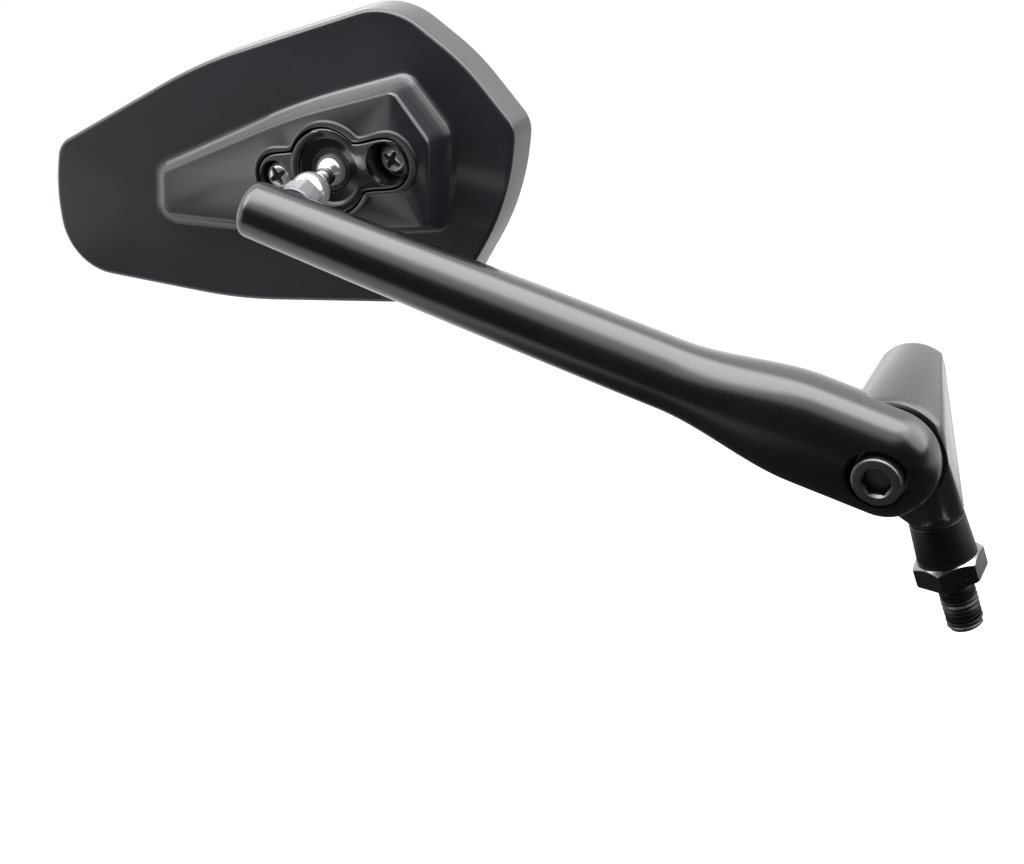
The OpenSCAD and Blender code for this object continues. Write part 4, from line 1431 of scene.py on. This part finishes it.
@dataclass
class Studio:
    """Camera, plain pale floor, world and soft lamps.

    The lens, the sensor, floor_z and floor_half are in millimetres, and other lengths in metres.
    """

    camera_at: Triple = (0.2981715, -0.67768616, 0.3948819)
    right: Triple = (0.87575, 0.38231, -0.29479)
    up: Triple = (0.080003, 0.487256, 0.869587)
    back: Triple = (0.476089, -0.785125, 0.396128)
    lens: float = 112.5
    sensor: float = 36.0
    clip: Pair = (0.01, 50.0)
    room_way: Triple = (0.5185, -0.855, 0.0)
    room_edge: Pair = (0.0, 0.5)
    room_top: Pair = (0.5, 0.75)
    room_dark: float = 0.03
    walls: float = 1.35
    side_way: Triple = (0.855, 0.5185, 0.0)
    box_lean: float = -0.4
    box_wide: float = 0.25
    box_edge: Pair = (0.64, 0.90)
    box_power: float = 4.6
    wing_way: Triple = (0.83, 0.30, 0.47)
    wing_edge: Pair = (0.72, 0.92)
    wing_power: float = 2.4
    ambient: float = 0.5
    floor_z: float = -82.0
    floor_half: float = 4000.0
    floor_grey: float = 0.82
    floor_glow: float = 0.45
    floor_far: Pair = (0.45, 0.9)
    floor_fade: Pair = (0.0, 0.32)
    floor_mirrored: float = 0.9
    shade_at: Triple = (-0.02, -0.1, 0.0)
    shade_reach: Pair = (0.22, 0.36)
    lamps: tuple[SoftBox, ...] = (
        SoftBox("top_box", (-0.25, 0.15, 0.95), (-0.1, 0.0, 0.1), (0.9, 0.5), 9.0),
        SoftBox("side_box", (1.1, 0.25, 0.5), (-0.05, 0.0, 0.1), (0.5, 0.8), 5.0),
    )

    def build_camera(self) -> None:
        """Sets the camera where the photograph was taken from."""
        data = bpy.data.cameras.new("camera")
        data.lens, data.sensor_width, data.sensor_fit = self.lens, self.sensor, "HORIZONTAL"
        data.clip_start, data.clip_end = self.clip
        camera = bpy.data.objects.new("camera", data)
        turn = Matrix((self.right, self.up, self.back)).transposed().to_quaternion()
        camera.rotation_mode = "QUATERNION"
        camera.location, camera.rotation_quaternion = self.camera_at, turn
        bpy.context.scene.collection.objects.link(camera)
        bpy.context.scene.camera = camera

    def build_floor(self) -> None:
        """Lays the floor: pale to the camera and white far out, and dark in reflections of the room."""
        half, skin = self.floor_half, Skin()
        corners = ((-half, -half), (half, -half), (half, half), (-half, half))
        skin.plate(skin.ring([(x, y, self.floor_z) for x, y in corners]))
        floor = skin.done("studio_floor")
        made = bpy.data.materials.new("studio_white")
        made.use_nodes = True
        tree = made.node_tree
        tree.nodes.clear()
        seen, mirrored = ray_masks(tree)
        place = wire(tree, "ShaderNodeTexCoord").outputs["Object"]
        away = wire(tree, "ShaderNodeVectorMath", {"operation": "DISTANCE"}, i0=place,
                    i1=self.shade_at).outputs["Value"]
        pale = wire(tree, "ShaderNodeBsdfDiffuse", Color=(*[self.floor_grey] * 3, 1.0))
        lit = wire(tree, "ShaderNodeAddShader", i0=pale.outputs[0],
                   i1=glow(tree, maths(tree, "MULTIPLY", seen, self.floor_glow)))
        room = remap(tree, along(tree, place, self.room_way), self.floor_fade,
                     (self.floor_mirrored, self.room_dark), soft=True)
        shade = remap(tree, away, self.shade_reach, (self.room_dark, 1.0), soft=True)
        near = wire(tree, "ShaderNodeMixShader", i0=mirrored, i1=lit.outputs[0],
                    i2=glow(tree, maths(tree, "MULTIPLY", room, shade)))
        far = maths(tree, "MULTIPLY", seen, remap(tree, away, self.floor_far, soft=True))
        both = wire(tree, "ShaderNodeMixShader", i0=far, i1=near.outputs[0], i2=glow(tree, 1.0))
        wire(tree, "ShaderNodeOutputMaterial", Surface=both.outputs[0])
        made.cycles.emission_sampling = "NONE"
        floor.data.materials.append(made)

    def build_world(self) -> None:
        """Sets the surroundings: even white, with soft boxes and a dark room in reflections."""
        world = bpy.data.worlds.new("studio_world")
        world.use_nodes = True
        tree = world.node_tree
        tree.nodes.clear()
        way = wire(tree, "ShaderNodeTexCoord").outputs["Generated"]
        height = wire(tree, "ShaderNodeSeparateXYZ", i0=way).outputs["Z"]
        front = along(tree, way, self.room_way)
        dark = maths(tree, "MULTIPLY", remap(tree, front, self.room_edge, soft=True),
                     remap(tree, height, self.room_top, (1.0, 0.0), soft=True))
        walls = remap(tree, dark, (0.0, 1.0), (self.walls, self.room_dark))
        leaned = maths(tree, "MULTIPLY_ADD", maths(tree, "ABSOLUTE", front), self.box_lean, height)
        across = maths(tree, "ABSOLUTE", along(tree, way, self.side_way))
        over = maths(tree, "MULTIPLY_ADD", across, self.box_wide, leaned)
        box = remap(tree, over, self.box_edge, (0.0, self.box_power), soft=True)
        wing = remap(tree, along(tree, way, self.wing_way), self.wing_edge, (0.0, self.wing_power),
                     soft=True)
        room = maths(tree, "ADD", walls, maths(tree, "MAXIMUM", wing, box))
        seen, mirrored = ray_masks(tree)
        even = remap(tree, seen, (0.0, 1.0), (self.ambient, 1.0))
        level = wire(tree, "ShaderNodeMix", {"data_type": "FLOAT"}, i0=mirrored, i2=even, i3=room)
        sky = wire(tree, "ShaderNodeBackground", Color=WHITE, Strength=level.outputs[0])
        wire(tree, "ShaderNodeOutputWorld", Surface=sky.outputs[0])
        world.cycles.sampling_method = "NONE"
        bpy.context.scene.world = world

    def build(self) -> None:
        """Builds the whole studio."""
        self.build_camera()
        self.build_floor()
        self.build_world()
        for lamp in self.lamps:
            lamp.build()
        bpy.context.scene.view_settings.view_transform = "Standard"


def main() -> None:
    """Builds the studio and every sub-assembly in order."""
    logging.basicConfig(level=logging.INFO, format="%(name)s: %(message)s")
    Studio().build()
    for part in (Stem(), Base(), FoldingArm(), MirrorHead()):
        LOG.info("building %s", type(part).__name__)
        part.build()


if __name__ == "__main__":
    main()
